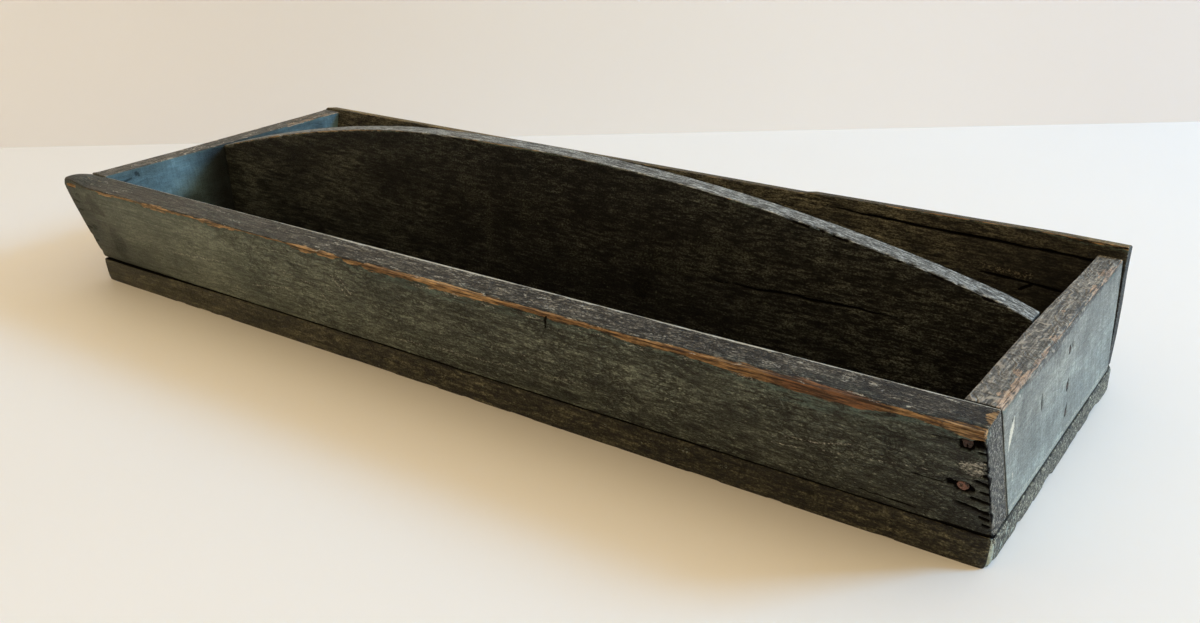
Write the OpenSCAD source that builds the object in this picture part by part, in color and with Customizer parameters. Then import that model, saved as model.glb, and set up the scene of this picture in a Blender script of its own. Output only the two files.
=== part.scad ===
// Antique knife box: a long open tray with two splayed side boards, two end boards
// and an arched divider, all butted together and held with cut nails.
// X runs along the box, Y from its front to its back, Z up from the table.
// The origin is on the underside, in the middle of the box's overall outline.

/* [Box] */
// Length over the end boards at the rim
box_len = 500; // [350:1:700]
// Width of the floor inside, between the feet of the side boards
inside_w = 144; // [120:1:240]
// Height of the end boards' top edge above the table
rim_h = 59; // [54:0.5:100]
// Angle at which the side boards lean outward
splay = 17; // [4:0.5:22]
// Angle at which the racked end boards lean, with their tops toward the left
end_lean = 4.4; // [0:0.1:7]
// Height of the back board's top edge above the rim, where a long sliver is lost from it
back_rise = 3; // [0:0.1:6]
// Place along the box where the lost sliver ends in a step
step_place = 97; // [-100:1:180]
// Height of that step
step_h = 0.8; // [0.2:0.1:2]
// Rise of the back board's top edge from the step to its right end
back_slant = 1.3; // [0:0.1:3]
// Height of the divider's crown above the rim
arch_rise = 32; // [10:0.5:60]
// Distance of the divider's middle plane in front of the box's centre line
divider_shift = 1.5; // [-20:0.1:20]

/* [Boards] */
// Thickness of the bottom board
bottom_t = 11.5; // [8:0.1:16]
// Thickness of the front board
front_t = 16.5; // [9:0.1:20]
// Thickness of the back board
back_t = 8; // [7:0.1:20]
// Thickness of the end boards
end_t = 13; // [10:0.1:20]
// Thickness of the divider
divider_t = 11.3; // [8:0.1:16]
// Fall of the front board's planed top edge, from its inner to its outer arris
front_fall = 1.5; // [0:0.1:4]
// Fall of the back board's planed top edge, from its inner to its outer arris
back_fall = 1.3; // [0:0.1:2]
// How far the bottom board stands out in front of the front board's foot
front_lip = 2.5; // [0:0.1:8]
// How far the bottom board stands out behind the back board's foot
back_lip = 2.5; // [0:0.1:8]
// How far the bottom board stands out past the right end
right_lip = 0.7; // [0:0.1:8]
// How far the bottom board falls short of the left end
left_short = 3.4; // [0:0.1:5]

/* [Wear] */
// Radius of the long arrises along the rim
arris_r = 1.2; // [0.2:0.1:2]
// Radius of the arrises along the divider's arch
arch_r = 0.8; // [0.2:0.1:2]
// Radius of the end corners of the side boards
end_corner_r = 1.5; // [0.2:0.1:4]
// Radius of the end boards' outer top arris
end_arris_r = 2; // [0.2:0.1:4]
// Radius of the bottom board's corners, seen from above
bottom_corner_r = 5; // [0.5:0.5:8]
// Radius of the bottom board's lower arris at its ends
bottom_arris_r = 4; // [0.2:0.1:5]

/* [Nails] */
// Length of a cut nail
nail_len = 38; // [30:0.5:40]
// Width of a nail's shank under its head
nail_w = 3.2; // [2:0.1:4]
// Width of a nail's or a brad's blunt tip
tip_w = 1.6; // [0.8:0.1:2]
// Thickness of a nail's or a brad's shank, which doesn't taper
shank_t = 1.9; // [1:0.1:2.4]
// Width of a nail's head
head_w = 4.6; // [4:0.1:6]
// Thickness of a nail's head
head_t = 1.2; // [0.6:0.1:2]
// Width of a headless brad at its top
brad_w = 2.7; // [2:0.1:3.5]
// Length of a headless brad
brad_len = 32; // [22:0.5:38]
// Least depth of a punched nail or brad below the surface
punch_depth = 0.2; // [0.1:0.1:1]
// Distance of the corner nails from the end boards' outer face
corner_inset = 7.5; // [5:0.1:8]
// Distance of the upper corner nails below the rim
corner_top_gap = 7.5; // [5:0.1:10]
// Drop from the upper to the lower corner nails
corner_pitch = 20; // [10:0.5:24]
// Distance of the divider's end brads behind its middle plane
brad_shift = 2.5; // [0:0.1:2.8]
// Heights of the divider's end brads above the bottom board
brad_heights = [9.5, 20.5, 36]; // [4:0.5:38]
// Widest gap between the bottom's nails along a side board
side_nail_gap = 90; // [50:1:150]
// Distance of a side row's first and last nail from the ends
side_nail_end = 30; // [20:1:60]
// Widest gap between the bottom's nails along an end board
end_nail_gap = 50; // [30:1:100]
// Distance of an end row's first and last nail from the side boards' feet
end_nail_side = 35; // [30:1:44]
// Widest gap between the bottom's nails along the divider
divider_nail_gap = 160; // [80:1:300]
// Distance of the divider row's first and last nail from the end boards
divider_nail_end = 80; // [50:1:120]

/* [Hidden] */

// Names for the two ends of the X and Y axes
LEFT = -1;
RIGHT = 1;
FRONT = -1;
BACK = 1;

// Colours of old paint and rusty iron
front_paint = "#4b4e43";
back_paint = "#3c3a2c";
end_paint = "#8fa0a2";
divider_paint = "#2e3028";
bottom_paint = "#45443a";
rust = "#4a3128";

// Steps in each rounded corner
arc_steps = 4;
// Facets of the arch's circle
arch_facets = 720;
// Sides of a nail's hammered head
head_sides = 8;
// Overrun that takes a cut or a blank clear of the piece
clear = 5;

// Thicknesses of the leaning boards, measured level
front_level_t = front_t / cos(splay);
back_level_t = back_t / cos(splay);
end_level_t = end_t / cos(end_lean);

// Height of the back board's inner top arris left of the step, right of it and at its right end
back_low_h = rim_h + back_rise;
back_step_h = back_low_h + step_h;
back_high_h = back_step_h + back_slant;
// Height of the divider's crown
crown_h = rim_h + arch_rise;
// Half the divider's length where its arch meets the end boards
half_chord = box_len / 2 - end_level_t;
// Radius of the arch, from its chord and its rise
arch_radius = (half_chord * half_chord + arch_rise * arch_rise) / (2 * arch_rise);
// A length and a width that reach past every board
long_blank = box_len + 2 * (crown_h * tan(end_lean) + clear);
wide_blank = inside_w + 2 * (crown_h * tan(splay) + front_level_t + back_level_t + clear);

// Place along X of an end board's outer face, at height z
function end_face(side, z) = side * box_len / 2 + (rim_h - z) * tan(end_lean);

// Place along X of an end board's inner face, at height z
function end_inside(side, z) = end_face(side, z) - side * end_level_t;

// Distance of a side board's inner face from the centre line, at height z
function side_inside(z) = inside_w / 2 + (z - bottom_t) * tan(splay);

// Level thickness of the side board on the given side
function side_level_t(side) = side == FRONT ? front_level_t : back_level_t;

// Distance of a side board's outer face from the centre line, at height z
function side_face(side, z) = side_inside(z) + side_level_t(side);

// Depth of a punched head of the given width, which lies askew in a leaning face
function sunk(width, lean) = punch_depth + width / 2 * tan(lean);

function unit(v) = v / norm(v);

function turned(v, a) = [v.x * cos(a) - v.y * sin(a), v.x * sin(a) + v.y * cos(a)];

// The corner b of an outline that runs from a through b to c, rounded to radius r
function rounded_corner(a, b, c, r) =
    let (
        to_a = unit(a - b),
        to_c = unit(c - b),
        half_angle = acos(to_a * to_c) / 2,
        middle = b + unit(to_a + to_c) * r / sin(half_angle),
        spoke = b + to_a * r / tan(half_angle) - middle,
        sweep = sign(cross(to_c, to_a)) * (180 - 2 * half_angle)
    )
    [for (k = [0 : arc_steps]) middle + turned(spoke, sweep * k / arc_steps)];

// A closed outline whose corners are rounded to the radii given, or kept sharp at 0
function rounded(points, radii) =
    let (n = len(points))
    [
        for (i = [0 : n - 1])
            each radii[i] > 0
                ? rounded_corner(points[(i + n - 1) % n], points[i], points[(i + 1) % n], radii[i])
                : [points[i]]
    ];

// Section of a side board, with distance from the centre line first and height second
function side_section(side, top, fall) = rounded(
    [
        [side_inside(bottom_t), bottom_t],
        [side_face(side, bottom_t), bottom_t],
        [side_face(side, top - fall), top - fall],
        [side_inside(top), top]
    ],
    [0, arris_r, arris_r, arris_r / 2]
);

// Outline of the front board seen from the front, with its end corners worn round
front_outline = rounded(
    [
        [end_face(LEFT, bottom_t), bottom_t],
        [end_face(RIGHT, bottom_t), bottom_t],
        [end_face(RIGHT, rim_h), rim_h],
        [end_face(LEFT, rim_h), rim_h]
    ],
    [end_corner_r, end_corner_r, end_corner_r, end_corner_r]
);
// Outlines of the back board's two lengths, which meet at the step
back_left_outline = rounded(
    [
        [end_face(LEFT, bottom_t), bottom_t],
        [step_place, bottom_t],
        [step_place, back_low_h],
        [end_face(LEFT, back_low_h), back_low_h]
    ],
    [end_corner_r, 0, 0, end_corner_r]
);
back_right_outline = rounded(
    [
        [step_place, bottom_t],
        [end_face(RIGHT, bottom_t), bottom_t],
        [end_face(RIGHT, back_high_h), back_high_h],
        [step_place, back_step_h]
    ],
    [0, end_corner_r, end_corner_r, 0]
);

// Ends and edges of the bottom board
bottom_left = end_face(LEFT, bottom_t) + left_short;
bottom_right = end_face(RIGHT, bottom_t) + right_lip;
bottom_front = -side_face(FRONT, bottom_t) - front_lip;
bottom_back = side_face(BACK, bottom_t) + back_lip;

// Reach of the whole box, from which its middle is found
front_section = side_section(FRONT, rim_h, front_fall);
back_left_section = side_section(BACK, back_low_h, back_fall);
back_right_section = side_section(BACK, back_high_h, back_fall);
front_reach = max(-bottom_front, max([for (p = front_section) p[0]]));
back_reach = max(bottom_back, max([for (p = back_right_section) p[0]]));
left_reach = min(bottom_left, min([for (p = concat(front_outline, back_left_outline)) p[0]]));
right_reach = bottom_right;
middle_x = (left_reach + right_reach) / 2;
middle_y = (back_reach - front_reach) / 2;

// Puts the middle of the whole box over the origin
module centred() {
    translate([-middle_x, -middle_y, 0])
        children();
}

// Extrudes a section of Y and Z along X
module along_x() {
    rotate([90, 0, 90])
        linear_extrude(long_blank, center = true)
            children();
}

// Extrudes an outline of X and Z along Y
module along_y() {
    rotate([90, 0, 0])
        linear_extrude(wide_blank, center = true)
            children();
}

// A tapered cut nail: top of its head at the origin, tip down, broad way along X
module cut_nail() {
    translate([0, 0, -head_t])
        cylinder(d = head_w, h = head_t, $fn = head_sides);
    shank(nail_w, nail_len, -head_t / 2);
}

// A headless cut brad, standing as a nail does
module cut_brad() {
    shank(brad_w, brad_len, 0);
}

// A shank that narrows from its top down to its tip
module shank(width, reach, top, tip = tip_w) {
    rotate([90, 0, 0])
        linear_extrude(shank_t, center = true)
            polygon([[-width / 2, top], [width / 2, top], [tip / 2, -reach], [-tip / 2, -reach]]);
}

// The hole that a nail fills, open above its punched head
module nail_hole() {
    translate([0, 0, -head_t])
        cylinder(d = head_w, h = head_t + clear, $fn = head_sides);
    shank(nail_w, nail_len, -head_t / 2);
}

// The hole that a brad fills, open above its punched top
module brad_hole() {
    cut_brad();
    shank(brad_w, 0, clear, brad_w);
}

// Places children at the nails through a side board into an end board, driven level
module at_corner_nails(side, end) {
    for (drop = [0, corner_pitch]) {
        z = rim_h - corner_top_gap - drop;
        translate([end_face(end, z) - end * corner_inset, side * side_face(side, z), z])
            rotate([-90 * side, 0, 0])
                translate([0, 0, -sunk(head_w, splay)])
                    children();
    }
}

// Places children at the brads through an end board into the divider, driven level
module at_divider_brads(end) {
    for (height = brad_heights) {
        z = bottom_t + height;
        translate([end_face(end, z), brad_shift - divider_shift, z])
            rotate([0, 90 * end, 0])
                translate([0, 0, -sunk(brad_w, end_lean)])
                    rotate([0, 0, 90])
                        children();
    }
}

// Places children in an even row from one end to the other, no further apart than gap
module spaced(from, to, gap) {
    count = max(1, ceil((to - from) / gap));
    for (k = [0 : count])
        translate([from + (to - from) * k / count, 0, 0])
            children();
}

// Places children at the nails up through the bottom into a side board, along its lean
module at_side_row(side) {
    middle = side_inside(0) + side_level_t(side) / 2;
    translate([0, side * middle, 0])
        spaced(
            end_face(LEFT, bottom_t) + side_nail_end,
            end_face(RIGHT, bottom_t) - side_nail_end,
            side_nail_gap
        )
            rotate([180 - side * splay, 0, 0])
                translate([0, 0, -sunk(head_w, splay)])
                    children();
}

// Places children at the nails up through the bottom into an end board
module at_end_row(end) {
    reach = inside_w / 2 - end_nail_side;
    translate([end_face(end, bottom_t) - end * end_level_t / 2, 0, 0])
        rotate([0, 0, 90])
            spaced(-reach, reach, end_nail_gap)
                rotate([180, 0, 0])
                    translate([0, 0, -sunk(head_w, 0)])
                        children();
}

// Places children at the nails up through the bottom into the divider
module at_divider_row() {
    translate([0, -divider_shift, 0])
        spaced(
            end_inside(LEFT, bottom_t) + divider_nail_end,
            end_inside(RIGHT, bottom_t) - divider_nail_end,
            divider_nail_gap
        )
            rotate([180, 0, 0])
                translate([0, 0, -sunk(head_w, 0)])
                    children();
}

// Every hole that passes through the bottom board
module bottom_holes() {
    for (side = [FRONT, BACK])
        at_side_row(side)
            nail_hole();
    for (end = [LEFT, RIGHT])
        at_end_row(end)
            nail_hole();
    at_divider_row()
        nail_hole();
}

module bottom_board() {
    plan = rounded(
        [
            [bottom_left, bottom_front],
            [bottom_right, bottom_front],
            [bottom_right, bottom_back],
            [bottom_left, bottom_back]
        ],
        [bottom_corner_r, bottom_corner_r, bottom_corner_r, bottom_corner_r]
    );
    length_outline = rounded(
        [[bottom_left, 0], [bottom_right, 0], [bottom_right, bottom_t], [bottom_left, bottom_t]],
        [bottom_arris_r, bottom_arris_r, arris_r / 2, arris_r / 2]
    );
    cross_outline = rounded(
        [[bottom_front, 0], [bottom_back, 0], [bottom_back, bottom_t], [bottom_front, bottom_t]],
        [arris_r, arris_r, arris_r, arris_r]
    );
    color(bottom_paint)
        centred()
            difference() {
                intersection() {
                    linear_extrude(bottom_t)
                        polygon(plan);
                    along_y()
                        polygon(length_outline);
                    along_x()
                        polygon(cross_outline);
                }
                bottom_holes();
            }
}

// A length of splayed side board, from its section and its outline
module side_length(side, section, outline) {
    intersection() {
        along_x()
            polygon([for (p = section) [side * p[0], p[1]]]);
        along_y()
            polygon(outline);
    }
}

// Drills the side board that it is given for the corner nails and the bottom's nails
module side_board(side) {
    centred()
        difference() {
            union()
                children();
            for (end = [LEFT, RIGHT])
                at_corner_nails(side, end)
                    nail_hole();
            at_side_row(side)
                nail_hole();
        }
}

module front_board() {
    color(front_paint)
        side_board(FRONT)
            side_length(FRONT, front_section, front_outline);
}

module back_board() {
    color(back_paint)
        side_board(BACK) {
            side_length(BACK, back_left_section, back_left_outline);
            side_length(BACK, back_right_section, back_right_outline);
        }
}

// An end board that leans with the racked box and fits between the splayed sides
module end_board(end) {
    edge = rounded(
        [
            [end_face(end, bottom_t), bottom_t],
            [end_face(end, rim_h), rim_h],
            [end_inside(end, rim_h), rim_h],
            [end_inside(end, bottom_t), bottom_t]
        ],
        [0, end_arris_r, arris_r / 2, 0]
    );
    color(end_paint)
        centred()
            difference() {
                intersection() {
                    along_y()
                        polygon(edge);
                    along_x()
                        polygon([
                            [-side_inside(bottom_t), bottom_t],
                            [side_inside(bottom_t), bottom_t],
                            [side_inside(rim_h), rim_h],
                            [-side_inside(rim_h), rim_h]
                        ]);
                }
                for (side = [FRONT, BACK])
                    at_corner_nails(side, end)
                        nail_hole();
                at_divider_brads(end)
                    brad_hole();
                at_end_row(end)
                    nail_hole();
            }
}

module left_end_board() {
    end_board(LEFT);
}

module right_end_board() {
    end_board(RIGHT);
}

// The divider: a slice of a great disc, trimmed by the bottom and the leaning ends
module divider() {
    rim_profile = rounded(
        [[0, -divider_t / 2], [arch_radius, -divider_t / 2], [arch_radius, divider_t / 2], [0, divider_t / 2]],
        [0, arch_r, arch_r, 0]
    );
    over = crown_h + clear;
    color(divider_paint)
        centred()
            difference() {
                intersection() {
                    translate([0, -divider_shift, crown_h - arch_radius])
                        rotate([90, 0, 0])
                            rotate_extrude($fn = arch_facets)
                                polygon(rim_profile);
                    along_y()
                        polygon([
                            [end_inside(LEFT, bottom_t), bottom_t],
                            [end_inside(RIGHT, bottom_t), bottom_t],
                            [end_inside(RIGHT, over), over],
                            [end_inside(LEFT, over), over]
                        ]);
                }
                for (end = [LEFT, RIGHT])
                    at_divider_brads(end)
                        brad_hole();
                at_divider_row()
                    nail_hole();
            }
}

module corner_nails(side, end) {
    color(rust)
        centred()
            at_corner_nails(side, end)
                cut_nail();
}

module divider_brads(end) {
    color(rust)
        centred()
            at_divider_brads(end)
                cut_brad();
}

module bottom_side_nails(side) {
    color(rust)
        centred()
            at_side_row(side)
                cut_nail();
}

module bottom_end_nails(end) {
    color(rust)
        centred()
            at_end_row(end)
                cut_nail();
}

module bottom_divider_nails() {
    color(rust)
        centred()
            at_divider_row()
                cut_nail();
}

bottom_board();
front_board();
back_board();
left_end_board();
right_end_board();
divider();
corner_nails(FRONT, LEFT);  // front_left_corner_nails
corner_nails(FRONT, RIGHT);  // front_right_corner_nails
corner_nails(BACK, LEFT);  // back_left_corner_nails
corner_nails(BACK, RIGHT);  // back_right_corner_nails
divider_brads(LEFT);  // left_divider_brads
divider_brads(RIGHT);  // right_divider_brads
bottom_side_nails(FRONT);  // bottom_front_nails
bottom_side_nails(BACK);  // bottom_back_nails
bottom_end_nails(LEFT);  // bottom_left_end_nails
bottom_end_nails(RIGHT);  // bottom_right_end_nails
bottom_divider_nails();
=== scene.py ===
import math

import bpy
import numpy as np
from mathutils import Matrix, Vector


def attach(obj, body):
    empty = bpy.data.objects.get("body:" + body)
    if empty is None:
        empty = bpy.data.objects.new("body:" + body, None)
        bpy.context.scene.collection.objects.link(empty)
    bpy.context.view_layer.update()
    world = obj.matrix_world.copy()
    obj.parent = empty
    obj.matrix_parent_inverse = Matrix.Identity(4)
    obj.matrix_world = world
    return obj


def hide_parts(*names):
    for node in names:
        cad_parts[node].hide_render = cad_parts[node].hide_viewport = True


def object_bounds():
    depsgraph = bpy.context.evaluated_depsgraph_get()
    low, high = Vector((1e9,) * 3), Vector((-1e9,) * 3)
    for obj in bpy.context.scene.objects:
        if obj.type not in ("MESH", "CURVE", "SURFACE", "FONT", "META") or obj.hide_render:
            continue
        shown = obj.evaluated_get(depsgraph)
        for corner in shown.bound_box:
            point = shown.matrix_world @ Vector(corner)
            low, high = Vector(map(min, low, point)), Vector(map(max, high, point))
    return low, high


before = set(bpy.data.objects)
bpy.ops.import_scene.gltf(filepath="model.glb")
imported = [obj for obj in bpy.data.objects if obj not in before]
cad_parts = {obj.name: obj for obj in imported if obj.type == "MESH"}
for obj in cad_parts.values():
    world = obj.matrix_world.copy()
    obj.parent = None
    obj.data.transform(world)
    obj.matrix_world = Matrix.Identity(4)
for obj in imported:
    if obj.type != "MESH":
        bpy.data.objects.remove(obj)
cad_box = [list(corner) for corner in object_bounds()]

# Sizes of the box in mm, as in the CAD model
BOX_LEN = 500.0
INSIDE_W = 144.0
RIM_H = 59.0
SPLAY = math.radians(17)
END_LEAN = math.radians(4.4)
BACK_RISE = 3.0
STEP_PLACE = 97.0
STEP_H = 0.8
BACK_SLANT = 1.3
ARCH_RISE = 32.0
DIVIDER_SHIFT = 1.5
BOTTOM_T = 11.5
FRONT_T = 16.5
BACK_T = 8.0
END_T = 13.0
DIVIDER_T = 11.3
FRONT_FALL = 1.5
BACK_FALL = 1.3
BACK_REACH = 95.69
FRONT_LIP = 2.5
BACK_LIP = 2.5
RIGHT_LIP = 0.7
LEFT_SHORT = 3.4
NAIL_LEN = 38.0
SHANK_W = 3.2
SHANK_T = 1.9
TIP_W = 1.6
NAIL_SIDES = 20
CORNER_INSET = 7.5
CORNER_TOP_GAP = 7.5
CORNER_PITCH = 20.0
BRAD_SHIFT = 2.5
BRAD_HEIGHTS = (9.5, 20.5, 36.0)
MM = 0.001

LEFT, RIGHT, FRONT, BACK = -1, 1, -1, 1
FRONT_LEVEL_T = FRONT_T / math.cos(SPLAY)
BACK_LEVEL_T = BACK_T / math.cos(SPLAY)
END_LEVEL_T = END_T / math.cos(END_LEAN)
BACK_H = RIM_H + BACK_RISE
CROWN_H = RIM_H + ARCH_RISE
HALF_CHORD = BOX_LEN / 2 - END_LEVEL_T
ARCH_RADIUS = (HALF_CHORD ** 2 + ARCH_RISE ** 2) / (2 * ARCH_RISE)


def end_face(side, z):
    return side * BOX_LEN / 2 + (RIM_H - z) * math.tan(END_LEAN)


def end_inside(side, z):
    return end_face(side, z) - side * END_LEVEL_T


def side_inside(z):
    return INSIDE_W / 2 + (z - BOTTOM_T) * math.tan(SPLAY)


# The box's middle, measured from the middle of its rim, once its parts' reach is known from the frame
cad_low, cad_high = np.array(cad_box) / MM
bottom_right = end_face(RIGHT, BOTTOM_T) + RIGHT_LIP
MIDDLE = np.array([bottom_right - cad_high[0], BACK_REACH - cad_high[1], 0])


# Noise and small helpers

def lerp(a, b, t):
    return a + (b - a) * t


def smooth(low, high, value):
    t = np.clip((value - low) / (high - low), 0, 1)
    return t * t * (3 - 2 * t)


def noise(points, size, seed):
    """Value noise from -1 to 1 whose lumps are size mm across, along each axis."""
    p = points / np.asarray(size, float)
    cell = np.floor(p).astype(np.int64)
    f = p - cell
    f = f * f * (3 - 2 * f)
    total = np.zeros(len(p))
    for corner in range(8):
        step = np.array([corner & 1, corner >> 1 & 1, corner >> 2 & 1])
        c = cell + step
        h = (c[:, 0] * 73856093) ^ (c[:, 1] * 19349663) ^ (c[:, 2] * 83492791) ^ (seed * 7919 + 12345)
        h = (h ^ (h >> 13)) * 1274126177 & 0xFFFFFFFF
        h = (h ^ (h >> 16)) * 668265263 & 0xFFFFFFFF
        value = (h & 0xFFFFFF) / float(0xFFFFFF)
        weight = np.prod(np.where(step, f, 1 - f), axis=1)
        total += weight * value
    return total * 2 - 1


def layered(points, size, seed, layers=3):
    total = 0
    for k in range(layers):
        total = total + noise(points, np.asarray(size, float) / 2 ** k, seed + k) / 2 ** k
    return total / 1.5


def spaced(length, edge, fine, coarse):
    """Places along an edge, closer together within edge of both ends."""
    near = np.linspace(0, edge, max(2, round(edge / fine)) + 1)
    mid = np.linspace(edge, length - edge, max(2, math.ceil((length - 2 * edge) / coarse)) + 1)
    return np.concatenate([near[:-1], mid[:-1], length - near[::-1]])


def shell(u, v, w):
    """Points of a box lattice's surface, and the quads between them."""
    count = (len(u), len(v), len(w))
    on = np.zeros(count, bool)
    for axis in range(3):
        face = [slice(None)] * 3
        for end in (0, -1):
            face[axis] = end
            on[tuple(face)] = True
    index = np.full(count, -1)
    index[on] = np.arange(on.sum())
    i, j, k = np.nonzero(on)
    points = np.column_stack([u[i], v[j], w[k]])
    quads = []
    for axis in range(3):
        for end in (0, -1):
            face = [slice(None)] * 3
            face[axis] = end
            g = index[tuple(face)]
            q = np.stack([g[:-1, :-1], g[1:, :-1], g[1:, 1:], g[:-1, 1:]], axis=-1).reshape(-1, 4)
            outward = (end == -1) == (axis != 1)
            quads.append(q if outward else q[:, ::-1])
    return points, np.concatenate(quads)


def round_arrises(p, size, radius):
    """Rounds all arrises; radius has a row for each point and a column for each axis."""
    core = np.clip(p, radius, size - radius)
    n = np.linalg.norm((p - core) / radius, axis=1)
    return core + (p - core) / np.maximum(n, 1)[:, None]


def round_corner(p, size, axes, ends, radius):
    """Rounds one corner of the outline that two axes span, in place."""
    a, b = axes
    reach = []
    for axis, end in zip(axes, ends):
        depth = p[:, axis] if end == 0 else size[axis] - p[:, axis]
        reach.append(np.maximum(radius - depth, 0))
    va, vb = reach
    scale = np.maximum(va, vb) / np.maximum(np.hypot(va, vb), 1e-9)
    inside = (va > 0) & (vb > 0)
    for axis, end, v in zip(axes, ends, (va, vb)):
        place = radius - v * scale
        p[:, axis] = np.where(inside, place if end == 0 else size[axis] - place, p[:, axis])


class Board:
    """A worn board: a lattice in its own length, height and thickness, set into the box."""

    def __init__(self, size, steps, place, radius, corners=(), end_radius=9.0):
        self.size = np.array(size, float)
        u, v, w = (spaced(s, *step) for s, step in zip(size, steps))
        p, self.quads = shell(u, v, w)
        self.raw = p / self.size
        r = radius(self.raw, p)
        r = np.column_stack([np.minimum(r, end_radius), r, r])
        p = round_arrises(p, self.size, np.minimum(r, self.size.min() / 2 - 0.05))
        for axes, ends, corner_r in corners:
            round_corner(p, self.size, axes, ends, corner_r)
        self.lattice = p
        a, b, c = (p / self.size).T
        self.p = np.column_stack(place(a, b, c)) - MIDDLE
        self.zone = np.zeros((len(p), 4))
        self.wear = np.zeros((len(p), 4))
        self.zone[:, 3] = self.wear[:, 3] = 1
        self.tone = np.ones(len(p))
        self.grit = np.ones(len(p))
        self.age = np.zeros(len(p))
        self.normal = self.find_normals()

    def find_normals(self):
        q = self.p[self.quads]
        n = np.cross(q[:, 2] - q[:, 0], q[:, 3] - q[:, 1])
        total = np.zeros_like(self.p)
        for k in range(4):
            for axis in range(3):
                total[:, axis] += np.bincount(self.quads[:, k], n[:, axis], len(self.p))
        return total / np.maximum(np.linalg.norm(total, axis=1), 1e-12)[:, None]

    def turn_out(self):
        """Turns the faces outward where the board's own axes are left-handed."""
        self.quads = self.quads[:, ::-1]
        self.normal = -self.normal

    def sink(self, depth, near=slice(None)):
        """Moves the surface inward by depth mm, at all points or at the ones named."""
        depth = np.broadcast_to(depth, self.normal[near].shape[:1])
        self.p[near] -= self.normal[near] * depth[:, None]

    def add_wear(self, channel, amount, near=slice(None)):
        self.wear[near, channel] = np.maximum(self.wear[near, channel], np.clip(amount, 0, 1))

    def build(self, name, node, material):
        mesh = bpy.data.meshes.new(name)
        mesh.vertices.add(len(self.p))
        inside_box = np.clip(self.p * MM, *np.array(cad_box))
        mesh.vertices.foreach_set("co", inside_box.astype(np.float32).ravel())
        mesh.loops.add(self.quads.size)
        mesh.loops.foreach_set("vertex_index", self.quads.astype(np.int32).ravel())
        mesh.polygons.add(len(self.quads))
        mesh.polygons.foreach_set("loop_start", np.arange(0, self.quads.size, 4, dtype=np.int32))
        mesh.update(calc_edges=True)
        mesh.validate()
        for layer, values in (("zone", self.zone), ("wear", self.wear)):
            mesh.color_attributes.new(layer, "FLOAT_COLOR", "POINT")
            mesh.color_attributes[layer].data.foreach_set("color", values.astype(np.float32).ravel())
        for layer, values in (("tone", self.tone), ("grit", self.grit), ("age", self.age)):
            mesh.attributes.new(layer, "FLOAT", "POINT")
            mesh.attributes[layer].data.foreach_set("value", values.astype(np.float32))
        mesh.polygons.foreach_set("use_smooth", np.ones(len(mesh.polygons), bool))
        mesh.materials.append(material)
        piece = bpy.data.objects.new(name, mesh)
        bpy.context.scene.collection.objects.link(piece)
        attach(piece, "root")
        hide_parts(node)
        return piece


BARE, PALE, DARK = 0, 1, 2
INNER, TOP, END = 0, 1, 2


def nearest(a, b, points):
    """Distance of each place (a, b) from a polyline, and how far along it the nearest point is."""
    points = np.asarray(points, float)
    lengths = np.linalg.norm(np.diff(points, axis=0), axis=1)
    starts = np.concatenate([[0], np.cumsum(lengths)])
    best = np.full(len(a), 1e9)
    along = np.zeros(len(a))
    for k, (start, end) in enumerate(zip(points[:-1], points[1:])):
        way = (end - start) / lengths[k]
        t = np.clip((a - start[0]) * way[0] + (b - start[1]) * way[1], 0, lengths[k])
        d = np.hypot(a - start[0] - t * way[0], b - start[1] - t * way[1])
        closer = d < best
        best = np.where(closer, d, best)
        along = np.where(closer, (starts[k] + t) / starts[-1], along)
    return best, along


def near_face(board, face, axes, low, high):
    """Indices of the face's points between two corners."""
    a, b = (board.p[:, k] for k in axes)
    return np.nonzero((face > 0) & (a > low[0]) & (a < high[0]) & (b > low[1]) & (b < high[1]))[0]


def groove(board, face, axes, points, width, depth, channel, amount=1.0, wander=0.5, seed=1, taper=0.15):
    """A crack or scratch along a polyline on one face, with its depth and its colour."""
    points = np.asarray(points, float)
    reach = 1.5 * width + 1.5 * wander
    near = near_face(board, face, axes, points.min(axis=0) - reach, points.max(axis=0) + reach)
    p = board.p[near]
    wobble = wander * noise(p, 9, seed) + 0.4 * wander * noise(p, 3, seed + 1)
    d, t = nearest(p[:, axes[0]], p[:, axes[1]] + wobble, points)
    w = width * np.clip(np.minimum(t, 1 - t) / taper, 0.15, 1) * (1 + 0.35 * noise(p, 6, seed + 2))
    profile = np.clip(1 - d / np.maximum(w, 0.05), 0, 1)
    board.sink(depth * profile, near)
    board.add_wear(channel, amount * np.sqrt(profile), near)


def patch(board, face, axes, centre, reach, channel, amount, ragged=0.6, seed=1, lump=4, depth=0.0):
    """A ragged worn or painted patch."""
    centre, reach = np.array(centre, float), np.array(reach, float)
    margin = reach * (1.2 + 1.4 * ragged)
    near = near_face(board, face, axes, centre - margin, centre + margin)
    p = board.p[near]
    d = np.hypot((p[:, axes[0]] - centre[0]) / reach[0], (p[:, axes[1]] - centre[1]) / reach[1])
    inside = smooth(1.15, 0.75, d + ragged * layered(p, lump, seed))
    board.add_wear(channel, amount * inside, near)
    board.sink(depth * inside, near)


def rubbed(board, down, across, width_down, width_across, seed, deep=0.5, amount=1.0, channel=0, lump=(11, 4, 4)):
    """Bare wood along an arris; down and across are the distances from it on its two faces."""
    swing = 1 + 0.45 * layered(board.p, lump, seed) + 0.25 * noise(board.p, np.array(lump) / 4, seed + 9)
    d = (down / np.maximum(width_down * swing, 0.01)) + (across / np.maximum(width_across * swing, 0.01))
    worn = smooth(1.25, 0.6, d) * (width_down > 0.05)
    board.add_wear(channel, amount * np.maximum(worn, 0.1 * smooth(2.4, 1.2, d) * (channel == BARE)))
    board.sink(deep * worn)


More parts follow.
